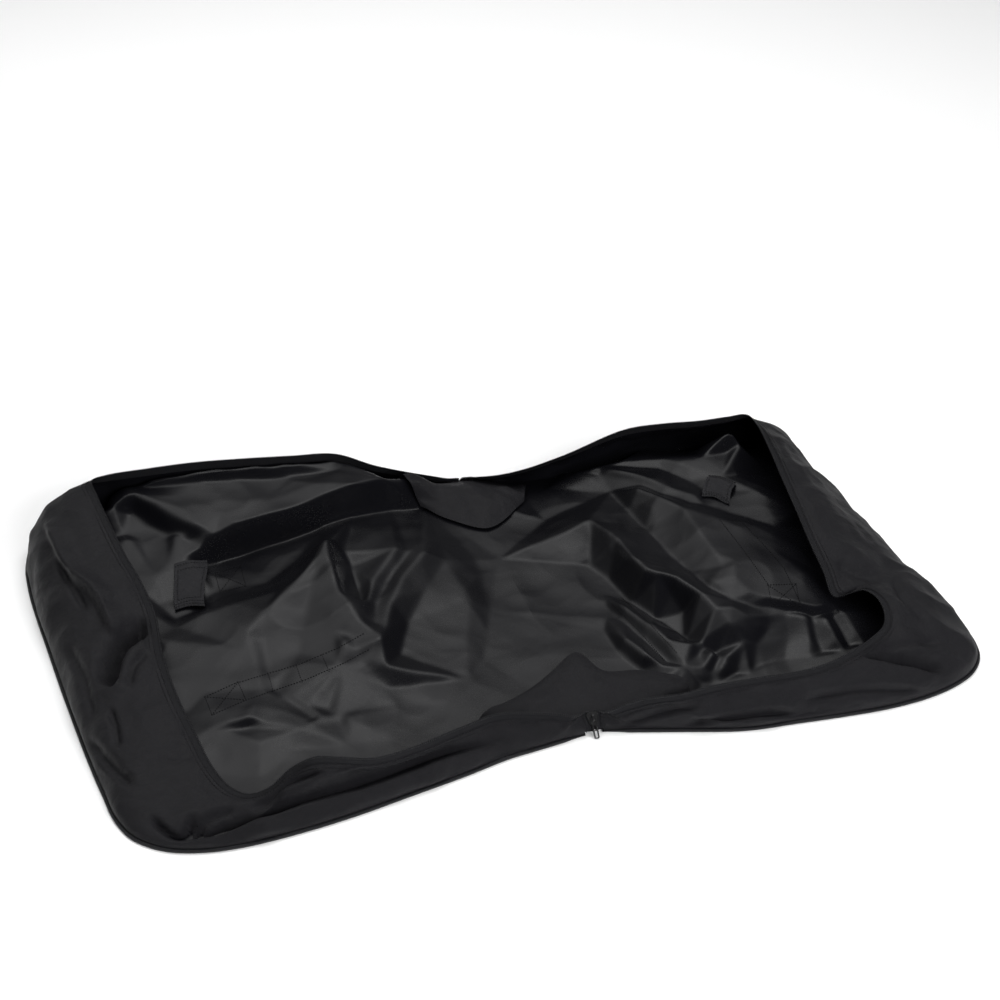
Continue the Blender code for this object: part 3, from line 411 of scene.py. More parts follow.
# Rows of small rounded shapes along a way: stitches and zipper teeth
def rowTree():
    tree, given, result = nodeGroup(
        "rowOfShapes", "GeometryNodeTree",
        [("Way", "Geometry"), ("Spacing", "Float"), ("Length", "Float"), ("Width", "Float"), ("Height", "Float"),
         ("Finish", "Material")],
        [("Row", "Geometry")],
    )
    given = given.outputs
    way = joined(tree, "GeometryNodeMeshToCurve", {}, given["Way"])
    even = joined(tree, "GeometryNodeResampleCurve", {"mode": "LENGTH"}, way.outputs[0], Length=given["Spacing"])
    shape = joined(tree, "GeometryNodeMeshIcoSphere", {}, 0.5, 1)
    up = joined(tree, "GeometryNodeInputNamedAttribute", {"data_type": "FLOAT_VECTOR"}, "up")
    along = joined(tree, "GeometryNodeInputTangent", {})
    stood = joined(tree, "FunctionNodeAlignRotationToVector", {"axis": "Z"}, Vector=up.outputs["Attribute"])
    turned = joined(tree, "FunctionNodeAlignRotationToVector", {"axis": "X", "pivot_axis": "Z"},
                    Rotation=stood.outputs[0], Vector=along.outputs[0])
    size = joined(tree, "ShaderNodeCombineXYZ", {}, given["Length"], given["Width"], given["Height"])
    row = joined(tree, "GeometryNodeInstanceOnPoints", {}, Points=even.outputs[0], Instance=shape.outputs["Mesh"],
                 Rotation=turned.outputs[0], Scale=size.outputs[0])
    real = joined(tree, "GeometryNodeRealizeInstances", {}, row.outputs[0])
    smooth = joined(tree, "GeometryNodeSetShadeSmooth", {}, real.outputs[0])
    finished = joined(tree, "GeometryNodeSetMaterial", {}, Geometry=smooth.outputs[0], Material=given["Finish"])
    tree.links.new(finished.outputs[0], result.inputs["Row"])
    return tree


rowShapes = rowTree()
rowPlans = {
    "stitch": {"Spacing": 0.0042, "Length": 0.0030, "Width": 0.0011, "Height": 0.0009},
    "teeth": {"Spacing": 0.0030, "Length": 0.0019, "Width": 0.0046, "Height": 0.0022},
}


def makeRow(name, ways, plan, finish):
    # each way is points with the direction that is up there
    mesh = bpy.data.meshes.new(name + "Way")
    points = np.concatenate([way for way, up in ways])
    ups = np.concatenate([up for way, up in ways])
    edges, start = [], 0
    for way, up in ways:
        edges += [(start + k, start + k + 1) for k in range(len(way) - 1)]
        start += len(way)
    mesh.from_pydata(points.tolist(), edges, [])
    mesh.attributes.new("up", "FLOAT_VECTOR", "POINT").data.foreach_set("vector", ups.astype(np.float32).ravel())
    guide = placed(name + "Way", mesh)
    modifier = guide.modifiers.new("row", "NODES")
    modifier.node_group = rowShapes
    for socket in rowShapes.interface.items_tree:
        if socket.in_out == "INPUT" and socket.name in plan:
            modifier[socket.identifier] = plan[socket.name]
        if socket.name == "Finish":
            modifier[socket.identifier] = finish
    seen = guide.evaluated_get(bpy.context.evaluated_depsgraph_get())
    made = bpy.data.meshes.new_from_object(seen)
    made.name = name
    bpy.data.objects.remove(guide)
    bpy.data.meshes.remove(mesh)
    return placed(name, made)


# Lining: each crease is a way of photograph pixels with the height of the cloth there in millimetres
leftCreases = {
    "apexLeft": [(326, 538, 78), (316, 556, 71), (290, 585, 58), (265, 610, 47), (242, 648, 35), (220, 675, 27),
                 (205, 692, 22), (186, 712, 13)],
    "apexRight": [(326, 538, 78), (330, 560, 72), (339, 590, 65), (355, 612, 58), (382, 637, 50), (387, 665, 36),
                  (391, 688, 19)],
    "backFold": [(204, 547, 42), (213, 536, 53), (237, 524, 61), (280, 511, 68), (320, 497, 74), (352, 485, 80),
                 (385, 478, 72), (415, 478, 54), (440, 488, 34)],
    "backFoldFoot": [(204, 564, 18), (220, 560, 14), (245, 553, 15), (283, 542, 22), (322, 528, 29), (354, 517, 33),
                     (390, 510, 28), (425, 508, 24)],
    "backRidge": [(137, 495, 70), (160, 508, 66), (185, 521, 62), (206, 531, 57), (213, 536, 53)],
    "backRidgeFoot": [(130, 512, 42), (152, 527, 36), (172, 536, 38), (190, 540, 40), (204, 547, 42)],
    "backSlope": [(170, 495, 68), (215, 501, 66), (262, 501, 68), (320, 483, 76)],
    "backSink": [(205, 505, 66), (222, 512, 63), (240, 519, 61)],
    "ledgeFoot": [(334, 471, 72), (292, 477, 69), (240, 480, 68), (190, 483, 69), (150, 487, 67)],
    "smallBackFold": [(112, 508, 56), (124, 500, 64), (137, 495, 70)],
    "smallCrumple": [(122, 535, 34), (129, 539, 38), (140, 540, 34)],
    "smallCrumpleTwo": [(166, 538, 36), (176, 534, 46), (190, 537, 44)],
    "tabFold": [(146, 596, 22), (157, 577, 30), (170, 563, 35), (186, 558, 36), (204, 547, 42)],
    "tabHole": [(158, 606, 15), (176, 620, 13), (196, 612, 15), (214, 592, 14)],
    "doubleRidge": [(176, 626, 24), (206, 612, 34), (235, 603, 39), (275, 592, 44), (300, 575, 56)],
    "doubleRidgeBack": [(206, 604, 18), (235, 594, 22), (268, 583, 27), (300, 560, 34)],
    "plateauEdge": [(150, 612, 26), (158, 640, 27), (172, 682, 21), (183, 712, 13)],
    "plateauSink": [(262, 642, 33), (268, 668, 23), (276, 692, 18)],
    "plateauRidge": [(248, 630, 42), (256, 665, 29), (262, 690, 22)],
    "apexSink": [(316, 570, 62), (306, 610, 44), (300, 652, 29)],
    "apexRoll": [(333, 600, 58), (334, 630, 47), (338, 662, 35)],
    "backOfApex": [(333, 540, 62), (343, 552, 47), (350, 566, 40), (358, 588, 36), (364, 606, 39)],
    "drapeRidge": [(396, 548, 54), (372, 580, 52), (364, 600, 51), (366, 622, 50)],
    "drapeSink": [(408, 552, 44), (388, 582, 41), (376, 606, 41), (376, 625, 44)],
    "drapeRidgeTwo": [(424, 552, 50), (404, 575, 50), (392, 600, 48), (385, 630, 47)],
    "drapeSinkTwo": [(446, 560, 36), (426, 590, 34), (408, 622, 28), (400, 655, 20)],
    "strapCrease": [(343, 640, 50), (345, 655, 41), (343, 668, 32)],
    "strapCreaseTwo": [(352, 636, 46), (357, 650, 42), (362, 660, 35)],
    "starRidge": [(214, 727, 22), (232, 722, 25), (248, 718, 27), (262, 722, 23)],
    "starFoot": [(218, 733, 19), (236, 730, 18), (250, 727, 17), (262, 729, 19)],
    "dentEdge": [(292, 696, 24), (306, 704, 23), (321, 716, 22)],
    "dent": [(288, 699, 20), (302, 708, 19), (317, 719, 18)],
    "dentTwoEdge": [(335, 707, 21), (347, 718, 20)],
    "dentTwo": [(330, 710, 17), (342, 721, 16)],
    "plateauMiddle": [(226, 730, 20), (260, 742, 20), (300, 728, 21), (350, 712, 18), (400, 706, 15), (450, 704, 12)],
    "plateauNear": [(230, 775, 10), (262, 776, 11), (300, 748, 14), (350, 745, 14), (400, 740, 12), (460, 718, 10)],
    "middleFold": [(476, 560, 20), (470, 600, 24), (466, 640, 21), (468, 680, 13)],
    "middleSink": [(500, 560, 14), (490, 610, 14), (484, 660, 11)],
}
rightCreases = {
    "upperRidge": [(545, 490, 12), (580, 472, 30), (620, 460, 46), (660, 458, 54), (690, 467, 58), (722, 476, 59),
                   (755, 490, 57), (797, 511, 48), (812, 530, 28)],
    "betweenSink": [(620, 466, 41), (660, 469, 46), (690, 481, 50), (702, 489, 52)],
    "thinRidge": [(600, 467, 38), (620, 471, 49), (642, 476, 55), (665, 486, 58), (696, 496, 59)],
    "thinSink": [(600, 476, 30), (620, 480, 39), (642, 486, 46), (662, 494, 52), (690, 504, 55)],
    "thirdRidge": [(637, 488, 58), (657, 496, 63), (682, 508, 66), (720, 519, 64), (747, 531, 61), (775, 548, 57),
                   (805, 572, 50), (824, 594, 43)],
    "thirdSink": [(705, 506, 55), (740, 516, 51), (775, 528, 46), (803, 547, 40), (818, 572, 34)],
    "sideRidge": [(747, 523, 58), (775, 535, 53), (800, 546, 46)],
    "slopeTop": [(682, 508, 66), (698, 530, 67), (716, 553, 66), (735, 576, 62), (752, 592, 55)],
    "softPatch": [(712, 582, 54), (722, 566, 60), (733, 560, 64)],
    "trough": [(610, 492, 26), (628, 512, 30), (645, 530, 34), (665, 550, 38), (690, 571, 44), (708, 588, 47)],
    "bigFold": [(545, 520, 12), (590, 520, 42), (617, 538, 55), (632, 556, 60), (645, 567, 62), (660, 571, 63),
                (677, 577, 63), (700, 592, 60), (715, 607, 56), (730, 624, 46), (744, 641, 34), (750, 675, 14)],
    "bigFoldFoot": [(590, 566, 12), (610, 580, 12), (632, 604, 12), (655, 620, 12), (685, 640, 12), (712, 657, 12),
                    (736, 674, 10)],
    "wedge": [(657, 576, 57), (670, 592, 38), (684, 612, 23)],
    "facetEdge": [(715, 607, 56), (732, 607, 55), (748, 617, 47), (760, 628, 36), (744, 641, 32)],
    "facetFoot": [(768, 626, 32), (756, 644, 25), (754, 668, 13)],
    "facetBack": [(732, 600, 50), (750, 606, 45), (770, 616, 38)],
    "waveEdge": [(770, 598, 51), (794, 602, 51), (807, 605, 49), (817, 607, 47), (832, 603, 44)],
    "waveFoot": [(770, 608, 40), (794, 612, 37), (807, 615, 35), (817, 616, 34), (833, 610, 34)],
    "stripSink": [(786, 614, 37), (788, 640, 24), (786, 658, 15)],
    "stripRidge": [(806, 616, 40), (810, 640, 29), (811, 657, 20)],
    "stripSinkTwo": [(812, 618, 34), (817, 640, 22), (822, 654, 15)],
    "stripRidgeTwo": [(826, 618, 40), (836, 640, 28), (843, 652, 20)],
    "stripSinkThree": [(831, 615, 33), (843, 636, 21), (850, 648, 15)],
    "stripRidgeThree": [(842, 611, 38), (855, 632, 27), (863, 644, 19)],
    "streak": [(603, 594, 13), (625, 607, 31), (645, 622, 34), (665, 638, 33), (685, 667, 22)],
    "streakSink": [(606, 606, 13), (622, 620, 18), (645, 642, 18), (668, 664, 13)],
    "streakTwo": [(606, 618, 14), (625, 638, 29), (645, 654, 28), (661, 666, 22)],
    "streakFoot": [(604, 630, 11), (618, 652, 11), (640, 670, 10), (658, 681, 10)],
    "crumple": [(680, 632, 26), (692, 642, 34), (703, 640, 30), (714, 650, 29)],
    "crumpleSink": [(684, 643, 20), (700, 653, 22)],
    "pleat": [(712, 655, 29), (703, 668, 20), (700, 684, 11)],
    "pleatSink": [(719, 658, 20), (712, 672, 14), (711, 684, 9)],
    "pleatTwo": [(728, 656, 27), (722, 670, 19), (721, 682, 10)],
    "nearBright": [(664, 680, 15), (680, 678, 22), (697, 683, 14)],
    "shinyTriangle": [(703, 457, 62), (716, 443, 76), (731, 430, 90), (740, 444, 74), (728, 452, 62), (703, 457, 62)],
}

# Zipper ends, as the zipper's two rows run up from the notch and turn out to the folds
zipPlan = {
    "foot": {"near": -0.012, "far": 0.634}, "footHeight": 0.0125, "tilt": math.radians(50),
    "offset": 0.0013, "spreadStart": 0.008, "spread": 0.16,
    "stops": (-0.006, 0, 0.007, 0.014, 0.021),  # places up the straight stretch
}
# where each row goes on, as places from the notch in metres, with the share of its turn
endWays = {
    ("near", -1): [(at(576, 716, 0.031) - notch, 0.5), (at(558, 714, 0.034) - notch, 0.9),
                   (at(534, 713, 0.038) - notch, 1), (at(504, 713, 0.044) - notch, 1)],
    ("near", 1): [(at(606, 712, 0.031) - notch, 0.5), (at(624, 705, 0.036) - notch, 0.9),
                  (at(640, 700, 0.041) - notch, 1), (at(657, 697, 0.046) - notch, 1)],
    ("far", -1): [((-0.022, 0.618, 0.034), 0.6), ((-0.050, 0.626, 0.040), 1), ((-0.090, 0.636, 0.050), 1),
                  ((-0.130, 0.642, 0.064), 1)],
    ("far", 1): [((0.022, 0.608, 0.034), 0.6), ((0.050, 0.594, 0.040), 1), ((0.095, 0.582, 0.050), 1),
                 ((0.150, 0.577, 0.064), 1)],
}


def zipperEnd(side, end):
    # places on one row, with the way from its teeth to its tape
    up = 1 if end == "near" else -1
    rise = np.array([0, up * math.cos(zipPlan["tilt"]), math.sin(zipPlan["tilt"])])
    out = np.array([side, 0, 0])
    foot = lay(0, zipPlan["foot"][end], zipPlan["footHeight"])
    rows = []
    for s in zipPlan["stops"]:
        offset = zipPlan["offset"] + max(0, s - zipPlan["spreadStart"]) * zipPlan["spread"]
        rows.append((foot + rise * s + out * offset, out))
    for place, turn in endWays[end, side]:
        across = out * (1 - turn) - rise * turn
        rows.append((notch + place, across / np.linalg.norm(across)))
    return rows


# Gusset walls: each row has a place on the seam, the rim's photograph pixel and height, and how far the cloth
# pulls out and up as it leaves the seam and as it reaches the rim, all but the pixels in millimetres
leftRows = [
    ((-200, -41), (464, 726, 50), (2, 16, 22, -26)),
    ((-280, -56), (410, 748, 50), (2, 18, 24, -30)),
    ((-350, -69), (372, 758, 54), (3, 20, 24, -34)),
    ((-410, -77), (340, 757, 64), (3, 22, 22, -40)),
    ((-460, -81), (314, 757, 68), (3, 22, 24, -38)),
    ((-510, -82), (291, 768, 50), (3, 20, 30, -18)),
    ((-560, -76), (270, 787, 31), (3, 18, 40, -2)),
    ((-605, -60), (249, 794, 22), (3, 18, 50, 6)),
    ((-640, -30), (229, 786, 24), (3, 20, 55, 10)),
    ((-658, 10), (212, 766, 32), (4, 26, 60, 12)),
    ((-667, 70), (196, 735, 44), (5, 34, 60, 14)),
    ((-675, 140), (178, 698, 54), (6, 42, 60, 14)),
    ((-683, 230), (162, 652, 60), (6, 46, 60, 14)),
    ((-690, 320), (155, 614, 62), (6, 48, 60, 16)),
    ((-696, 410), (141, 582, 68), (8, 50, 56, 18)),
    ((-702, 500), (124, 553, 76), (10, 54, 50, 18)),
    ((-704, 570), (108, 520, 86), (12, 56, 44, 16)),
    ((-700, 630), (97, 496, 96), (12, 56, 36, 8)),
    ((-684, 682), (92, 481, 100), (12, 52, 24, -6)),
    ((-650, 710), (108, 475, 98), (12, 46, 10, -26)),
    ((-600, 718), (146, 469, 95), (12, 42, 4, -30)),
    ((-520, 714), (190, 463, 93), (10, 40, 2, -30)),
    ((-420, 704), (240, 459, 92), (10, 40, 2, -30)),
    ((-320, 693), (292, 456, 90), (10, 40, 2, -30)),
    ((-230, 683), (334, 454, 84), (8, 34, 4, -26)),
]
rightRows = [
    ((200, -70), (680, 694, 50), (9, 12, 20, -26)),
    ((280, -79), (720, 684, 51), (7, 14, 22, -26)),
    ((350, -86), (760, 677, 52), (3, 20, 24, -22)),
    ((420, -90), (800, 671, 53), (3, 22, 26, -20)),
    ((480, -86), (828, 663, 54), (3, 24, 30, -16)),
    ((530, -74), (850, 652, 55), (3, 24, 36, -8)),
    ((570, -53), (872, 638, 56), (3, 24, 44, -4)),
    ((594, -22), (884, 625, 58), (3, 24, 50, 0)),
    ((603, 15), (884, 611, 64), (4, 26, 54, 0)),
    ((602, 60), (876, 597, 70), (5, 32, 54, -4)),
    ((598, 105), (862, 590, 68), (6, 38, 56, 0)),
    ((594, 150), (845, 595, 58), (6, 42, 60, 14)),
    ((590, 200), (833, 596, 60), (6, 44, 60, 18)),
    ((584, 260), (824, 573, 72), (6, 46, 56, 18)),
    ((577, 330), (811, 545, 84), (8, 48, 50, 16)),
    ((569, 400), (797, 512, 92), (10, 50, 44, 14)),
    ((562, 470), (782, 478, 98), (10, 52, 38, 10)),
    ((556, 530), (769, 448, 102), (10, 52, 30, 4)),
    ((549, 578), (757, 425, 104), (10, 50, 22, -8)),
    ((530, 607), (747, 415, 105), (10, 48, 16, -22)),
    ((480, 618), (728, 417, 104), (10, 46, 12, -30)),
    ((400, 618), (700, 421, 101), (10, 46, 12, -30)),
    ((320, 616), (662, 424, 97), (10, 44, 12, -30)),
    ((240, 610), (628, 429, 86), (8, 36, 10, -24)),
]
wallPlan = {
    "spacing": 0.0045, "across": 42, "curve": 60, "thick": 0.0012, "foot": 0.0045, "endFoot": 0.0022,
    "lowest": 0.0016, "tapeShow": 0.009, "creaseGain": 1.35, "heldEdge": 0.12,
    "creaseEnd": 0.2,
    # between the notch and the first of the seam's own rows
    "endSeams": (0.013, 0.019, 0.025, 0.031, 0.037, 0.050, 0.068, 0.092, 0.125), "endRun": 0.107,
    "endRise": 0.008, "endRiseGain": 0.010, "endPull": 0.018,
    "endWays": {("near", -1): (-0.0125, -0.024), ("near", 1): (-0.0125, -0.046),
                ("far", -1): (0.642, 0.658), ("far", 1): (0.642, 0.614)},
    "waves": waveList((0.10, 11, 0.0046, False), (0.04, 17, 0.0016, False),
                      (0.075, 23, 0.0088, True), (0.036, 29, 0.0036, True)),
}


def seamLine(side, rows):
    # the seam's places on the floor, with the ways out of the bag there
    seams = np.array([place for place, rim, pull in rows]) / 1000
    along = np.gradient(seams, axis=0)
    outward = np.stack([along[:, 1], -along[:, 0]], 1) * side
    return seams, unit(outward)


def wallRows(side, rows):
    # every row as the four points of a curve from the seam to the rim
    def endRows(end):
        made = []
        first, last = wallPlan["endWays"][end, side]
        for (rim, across), x in zip(zipperEnd(side, end), wallPlan["endSeams"]):
            share = (x - wallPlan["endSeams"][0]) / wallPlan["endRun"]
            height = wallPlan["endFoot"] + (wallPlan["foot"] - wallPlan["endFoot"]) * min(1, share * 3)
            place = lay(side * x, first + (last - first) * share, height)
            rise = (0, 0, wallPlan["endRise"] + wallPlan["endRiseGain"] * share)
            made.append(np.concatenate([place, place + rise, rim + across * wallPlan["endPull"], rim]))
        return made

    curves = endRows("near")
    seams, outward = seamLine(side, rows)
    for (x, y), (place, (u, v, mm), pull), out in zip(seams, rows, outward):
        foot, rim = lay(x, y, wallPlan["foot"]), at(u, v, mm / 1000)
        out, rise = np.array([*out, 0]), np.array([0, 0, 1])
        a, b, c, d = np.array(pull) / 1000
        curves.append(np.concatenate([foot, foot + out * a + rise * b, rim + out * c + rise * d, rim]))
    return np.array(curves + endRows("far")[::-1])


def wallCurves(side, rows):
    # the wall's whole surface from its seam to its zipper's edge
    curves = smoothWay(wallRows(side, rows), 8)
    middle = (curves[:, :3] + curves[:, 9:]) / 2
    run = np.linalg.norm(np.diff(middle, axis=0), axis=1).sum()
    curves = resample(np.hstack([middle, curves]), np.linspace(0, 1, int(run / wallPlan["spacing"])))[:, 3:]
    a, b, c, d = (curves[:, k : k + 3][:, None] for k in (0, 3, 6, 9))
    t = np.linspace(0, 1, wallPlan["curve"])[None, :, None]
    return (a * (1 - t) ** 3 + 3 * b * t * (1 - t) ** 2 + 3 * c * t * t * (1 - t) + d * t**3)[::side]


def cutCurves(full, start, end, count):
    # evenly spaced points from start to end, both measured back from the rim; None is the seam
    cut = np.empty((len(full), count, 3))
    for k, line in enumerate(full):
        runs = np.concatenate([[0], np.cumsum(np.linalg.norm(np.diff(line, axis=0), axis=1))])
        low = 0 if start is None else runs[-1] - start
        stops = np.linspace(max(low, 0), runs[-1] - end, count)
        cut[k] = np.stack([np.interp(stops, runs, line[:, m]) for m in range(3)], 1)
    return cut


def crossFold(piece):
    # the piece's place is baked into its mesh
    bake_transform(piece)


def makeWall(name, full, creases):
    grid = cutCurves(full, None, wallPlan["tapeShow"], wallPlan["across"])
    points = grid.reshape(-1, 3)
    places = pixels(points)
    push = crumple(points, wallPlan["waves"])
    for crease in creases:
        far, way, share = nearWay(places, smoothWay(crease["way"], 4))
        wide = np.where(way > 0, crease["wide"][0], crease["wide"][1])
        s = np.clip(far / wide, 0, 1)
        ends = ease(share / wallPlan["creaseEnd"]) * ease((1 - share) / wallPlan["creaseEnd"])
        push += crease["mm"] / 1000 * wallPlan["creaseGain"] * (1 - s) ** 2 * (1 + 2 * s) ** 0.5 * ends
    across = np.linspace(0, 1, wallPlan["across"])
    held = ease(np.minimum(across, 1 - across) / wallPlan["heldEdge"])
    push = push.reshape(grid.shape[:2]) * held[None]
    grid = grid + gridNormals(grid) * push[..., None]
    grid[..., 2] = np.maximum(grid[..., 2], wallPlan["lowest"])
    wall = makeSheet(name, grid, wallPlan["thick"], woven, coated)
    crossFold(wall)
    return wall


# the tape leans from its sewn edge up to the coil; the hem is where its two rows of stitches lie
tapePlan = {
    "wide": 0.015, "across": 8, "thick": 0.0007, "lift": (-0.0016, 0.0006), "hem": (0.0160, 0.0105),
    "stitchLift": 0.0006, "teethIn": 0.0006, "teethLift": 0.0004,
}


def makeZipperRow(name, full):
    # the tape on the wall's free edge, and the coil's teeth along it
    grid = cutCurves(full, tapePlan["wide"], 0, tapePlan["across"])
    normals = gridNormals(grid)
    lift = np.linspace(*tapePlan["lift"], tapePlan["across"])[None, :, None]
    tape = makeSheet(name + "Tape", grid + normals * lift, tapePlan["thick"], tapeKnit, tapeKnit)
    rim, up = grid[:, -1], normals[:, -1]
    outward = unit(grid[:, -1] - grid[:, -2])
    line = rim - outward * tapePlan["teethIn"] + up * tapePlan["teethLift"]
    teeth = makeRow(name + "Teeth", [(line, up)], rowPlans["teeth"], nylon)
    hem = cutCurves(full, *tapePlan["hem"], 2)
    ways = [(hem[:, k] + normals[:, 0] * tapePlan["stitchLift"], normals[:, 0]) for k in (0, 1)]
    seams = makeRow(name + "Stitches", ways, rowPlans["stitch"], thread)
    for piece in (tape, teeth, seams):
        crossFold(piece)
    return tape, teeth, seams


def makeTube(name, way, radius, material):
    # a closed round cord through the points, with one radius or one for each point
    around = 8
    radius = np.broadcast_to(radius, len(way))[:, None, None]
    along = unit(np.gradient(way, axis=0))
    first = unit(np.cross(along, (0, 0, 1)))
    second = np.cross(first, along)
    turns = np.linspace(0, 2 * math.pi, around, endpoint=False)[None, :, None]
    rings = way[:, None] + radius * (first[:, None] * np.cos(turns) + second[:, None] * np.sin(turns))
    faces = []
    for k in range(0, (len(way) - 1) * around, around):
        faces += [(k + m, k + around + m, k + around + (m + 1) % around, k + (m + 1) % around) for m in range(around)]
    last, count = (len(way) - 1) * around, len(way) * around
    for m in range(around):
        n = (m + 1) % around
        faces += [(count, m, n), (count + 1, last + n, last + m)]
    return makePiece(name, np.concatenate([rings.reshape(-1, 3), way[[0, -1]]]), faces, [material])


# it lies a little outside the seam and under the wall, and thins towards the notch over its last rows
pipingPlan = {"radius": 0.0026, "beside": 0.0018, "below": 0.0017, "thinnest": 0.45, "taper": 8}


def makePiping(name, seam):
    beside = unit(np.cross(np.gradient(seam, axis=0), (0, 0, 1)))
    count = np.arange(len(seam))
    share = ease(np.minimum(count, count[::-1]) / pipingPlan["taper"])[:, None]
    share = pipingPlan["thinnest"] + (1 - pipingPlan["thinnest"]) * share
    line = seam + (beside * pipingPlan["beside"] - (0, 0, pipingPlan["below"])) * share
    piping = makeTube(name, line, pipingPlan["radius"] * share[:, 0], pipingCloth)
    crossFold(piping)
    return piping


# Creases pushed into or out of the walls: their way and their width to either side in pixels, and their height
leftWallCreases = [
    {"way": [(44, 515), (58, 550), (72, 575), (92, 592), (117, 640)], "wide": (6, 22), "mm": 12},
    {"way": [(56, 560), (74, 588), (88, 612)], "wide": (8, 6), "mm": -6},
    {"way": [(158, 618), (140, 634), (122, 648), (108, 690)], "wide": (26, 8), "mm": -27},
    {"way": [(150, 650), (134, 664), (128, 690)], "wide": (7, 9), "mm": -6},
    {"way": [(108, 705), (114, 722), (118, 748)], "wide": (6, 6), "mm": -6},
    {"way": [(64, 640), (84, 680), (92, 724)], "wide": (10, 10), "mm": -5},
    {"way": [(86, 735), (104, 760), (136, 790)], "wide": (8, 12), "mm": -6},
    {"way": [(150, 815), (166, 830), (180, 836), (196, 812)], "wide": (9, 5), "mm": -10},
    {"way": [(196, 840), (204, 822), (236, 806)], "wide": (6, 6), "mm": -7},
    {"way": [(150, 834), (200, 834), (245, 818), (300, 800), (380, 778), (450, 752), (520, 735)], "wide": (7, 18),
     "mm": -14},
    {"way": [(245, 808), (262, 800), (300, 776), (330, 768)], "wide": (7, 7), "mm": -6},
    {"way": [(330, 775), (372, 764), (420, 752), (455, 738)], "wide": (6, 8), "mm": 5},
]
rightWallCreases = [
    {"way": [(850, 650), (895, 658), (950, 672)], "wide": (6, 16), "mm": -15},
    {"way": [(868, 640), (905, 645), (945, 640)], "wide": (7, 8), "mm": -5},
    {"way": [(893, 575), (905, 600), (930, 622)], "wide": (9, 9), "mm": -5},
    {"way": [(835, 560), (856, 572), (880, 582)], "wide": (8, 10), "mm": -4},
    {"way": [(680, 728), (735, 717), (800, 712)], "wide": (6, 8), "mm": -8},
    {"way": [(620, 728), (660, 714), (705, 706)], "wide": (6, 9), "mm": -5},
    {"way": [(800, 700), (860, 690), (930, 690)], "wide": (8, 8), "mm": -5},
]
sides = {
    "left": {"side": -1, "rows": leftRows, "creases": leftWallCreases},
    "right": {"side": 1, "rows": rightRows, "creases": rightWallCreases},
}
for half, plan in sides.items():
    side = plan["side"]
    full = wallCurves(side, plan["rows"])
    wall = makeWall(half + "Wall", full, plan["creases"])
    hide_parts(half + "_gusset", "near_gore_" + half, "far_gore_" + half)
    tape, teeth, seams = makeZipperRow(half + "Zipper", full)
    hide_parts(half + "_zip_tape", "near_zip_tape_" + half, "far_zip_tape_" + half)
    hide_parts(half + "_zip_coil", "near_zip_teeth_" + half, "far_zip_teeth_" + half)
    piping = makePiping(half + "Piping", full[:, 0])
    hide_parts(half + "_piping")
    plan.update(wall=wall, tape=tape, teeth=teeth, seams=seams, piping=piping)
print("gusset walls and zipper made")

liningPlan = {
    "spacing": {"left": 0.0040, "right": 0.0034}, "thick": 0.0009, "low": 0.005, "inset": 0.003,
    "edgeRows": {"left": (11, 9), "right": (10, 7)},  # how many of the seam's rows the near and the far edge take
    "waves": waveList((0.09, 3, 0.0024, False), (0.035, 7, 0.0006, False),
                      (0.10, 31, 0.0056, True), (0.05, 37, 0.0013, True)),
}

# where the lining lies high against the far wall before it drops to its seam
ledges = {
    "left": [(345, 462, 70), (334, 459, 79), (292, 461, 86), (240, 464, 88), (190, 468, 88), (150, 474, 84),
             (124, 484, 70), (108, 497, 50)],
    "right": [(640, 450, 32), (690, 452, 38), (745, 457, 38), (775, 476, 32)],
}


def edgeWays(half):
    # the lining's near and far edges, just inside the wall's seam
    seams, outward = seamLine(sides[half]["side"], sides[half]["rows"])
    seams = seams - outward * liningPlan["inset"]
    nearCount, farCount = liningPlan["edgeRows"][half]
    return np.vstack([[(0, -0.006)], seams[:nearCount]]), np.vstack([[(0, 0.636)], seams[::-1][:farCount]])


def outlineGrid(half):
    # a grid of places that fills the outline between its near edge and its far edge
    spacing = liningPlan["spacing"][half]
    near, far = (smoothWay(way, 12) for way in edgeWays(half))
    columns = int(np.linalg.norm(np.diff(near, axis=0), axis=1).sum() / spacing)
    shares = np.linspace(0, 1, columns)
    nearLine, farLine = resample(near, shares), resample(far, shares)
    rows = int(np.linalg.norm(farLine - nearLine, axis=1).max() / spacing)
    across = np.linspace(0, 1, rows)
    return nearLine[:, None] + across[None, :, None] * (farLine - nearLine)[:, None] + notch[:2]


def creaseLines():
    # both halves' creases count on both sides, so that the two linings meet
    ways = [*leftCreases.values(), *rightCreases.values(), *ledges.values()]
    lines = [np.array([(*at(u, v, mm / 1000)[:2], mm / 1000) for u, v, mm in way]) for way in ways]
    for half in sides:
        for edge in edgeWays(half):
            lines.append(np.array([(*lay(x, y)[:2], liningPlan["low"]) for x, y in smoothWay(edge, 3)]))
    return lines


def liningHeight(flat):
    height = facetHeights(flat.reshape(-1, 2), creaseLines()).reshape(flat.shape[:2])
    height = blur(height, 1) * 0.92 + blur(height, 8) * 0.08
    solid = raised(flat, height).reshape(-1, 3)
    wave = crumple(solid, liningPlan["waves"])
    return height + wave.reshape(height.shape) * ease((height - liningPlan["low"]) / 0.01)


def makeLining(half):
    side = sides[half]["side"]
    flat = outlineGrid(half)
    grid = raised(flat, liningHeight(flat))[::side]
    lining = makeSheet(half + "Lining", grid, liningPlan["thick"], coated, woven)
    corners = [Vector(p) for p in grid.reshape(-1, 3)]
    sides[half]["skin"] = BVHTree.FromPolygons(corners, gridFaces(*grid.shape[:2]).tolist())
    crossFold(lining)
    return lining


linings = {half: makeLining(half) for half in sides}
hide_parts("left_panel", "bottom_panel")
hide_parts("right_panel")
print("linings made")

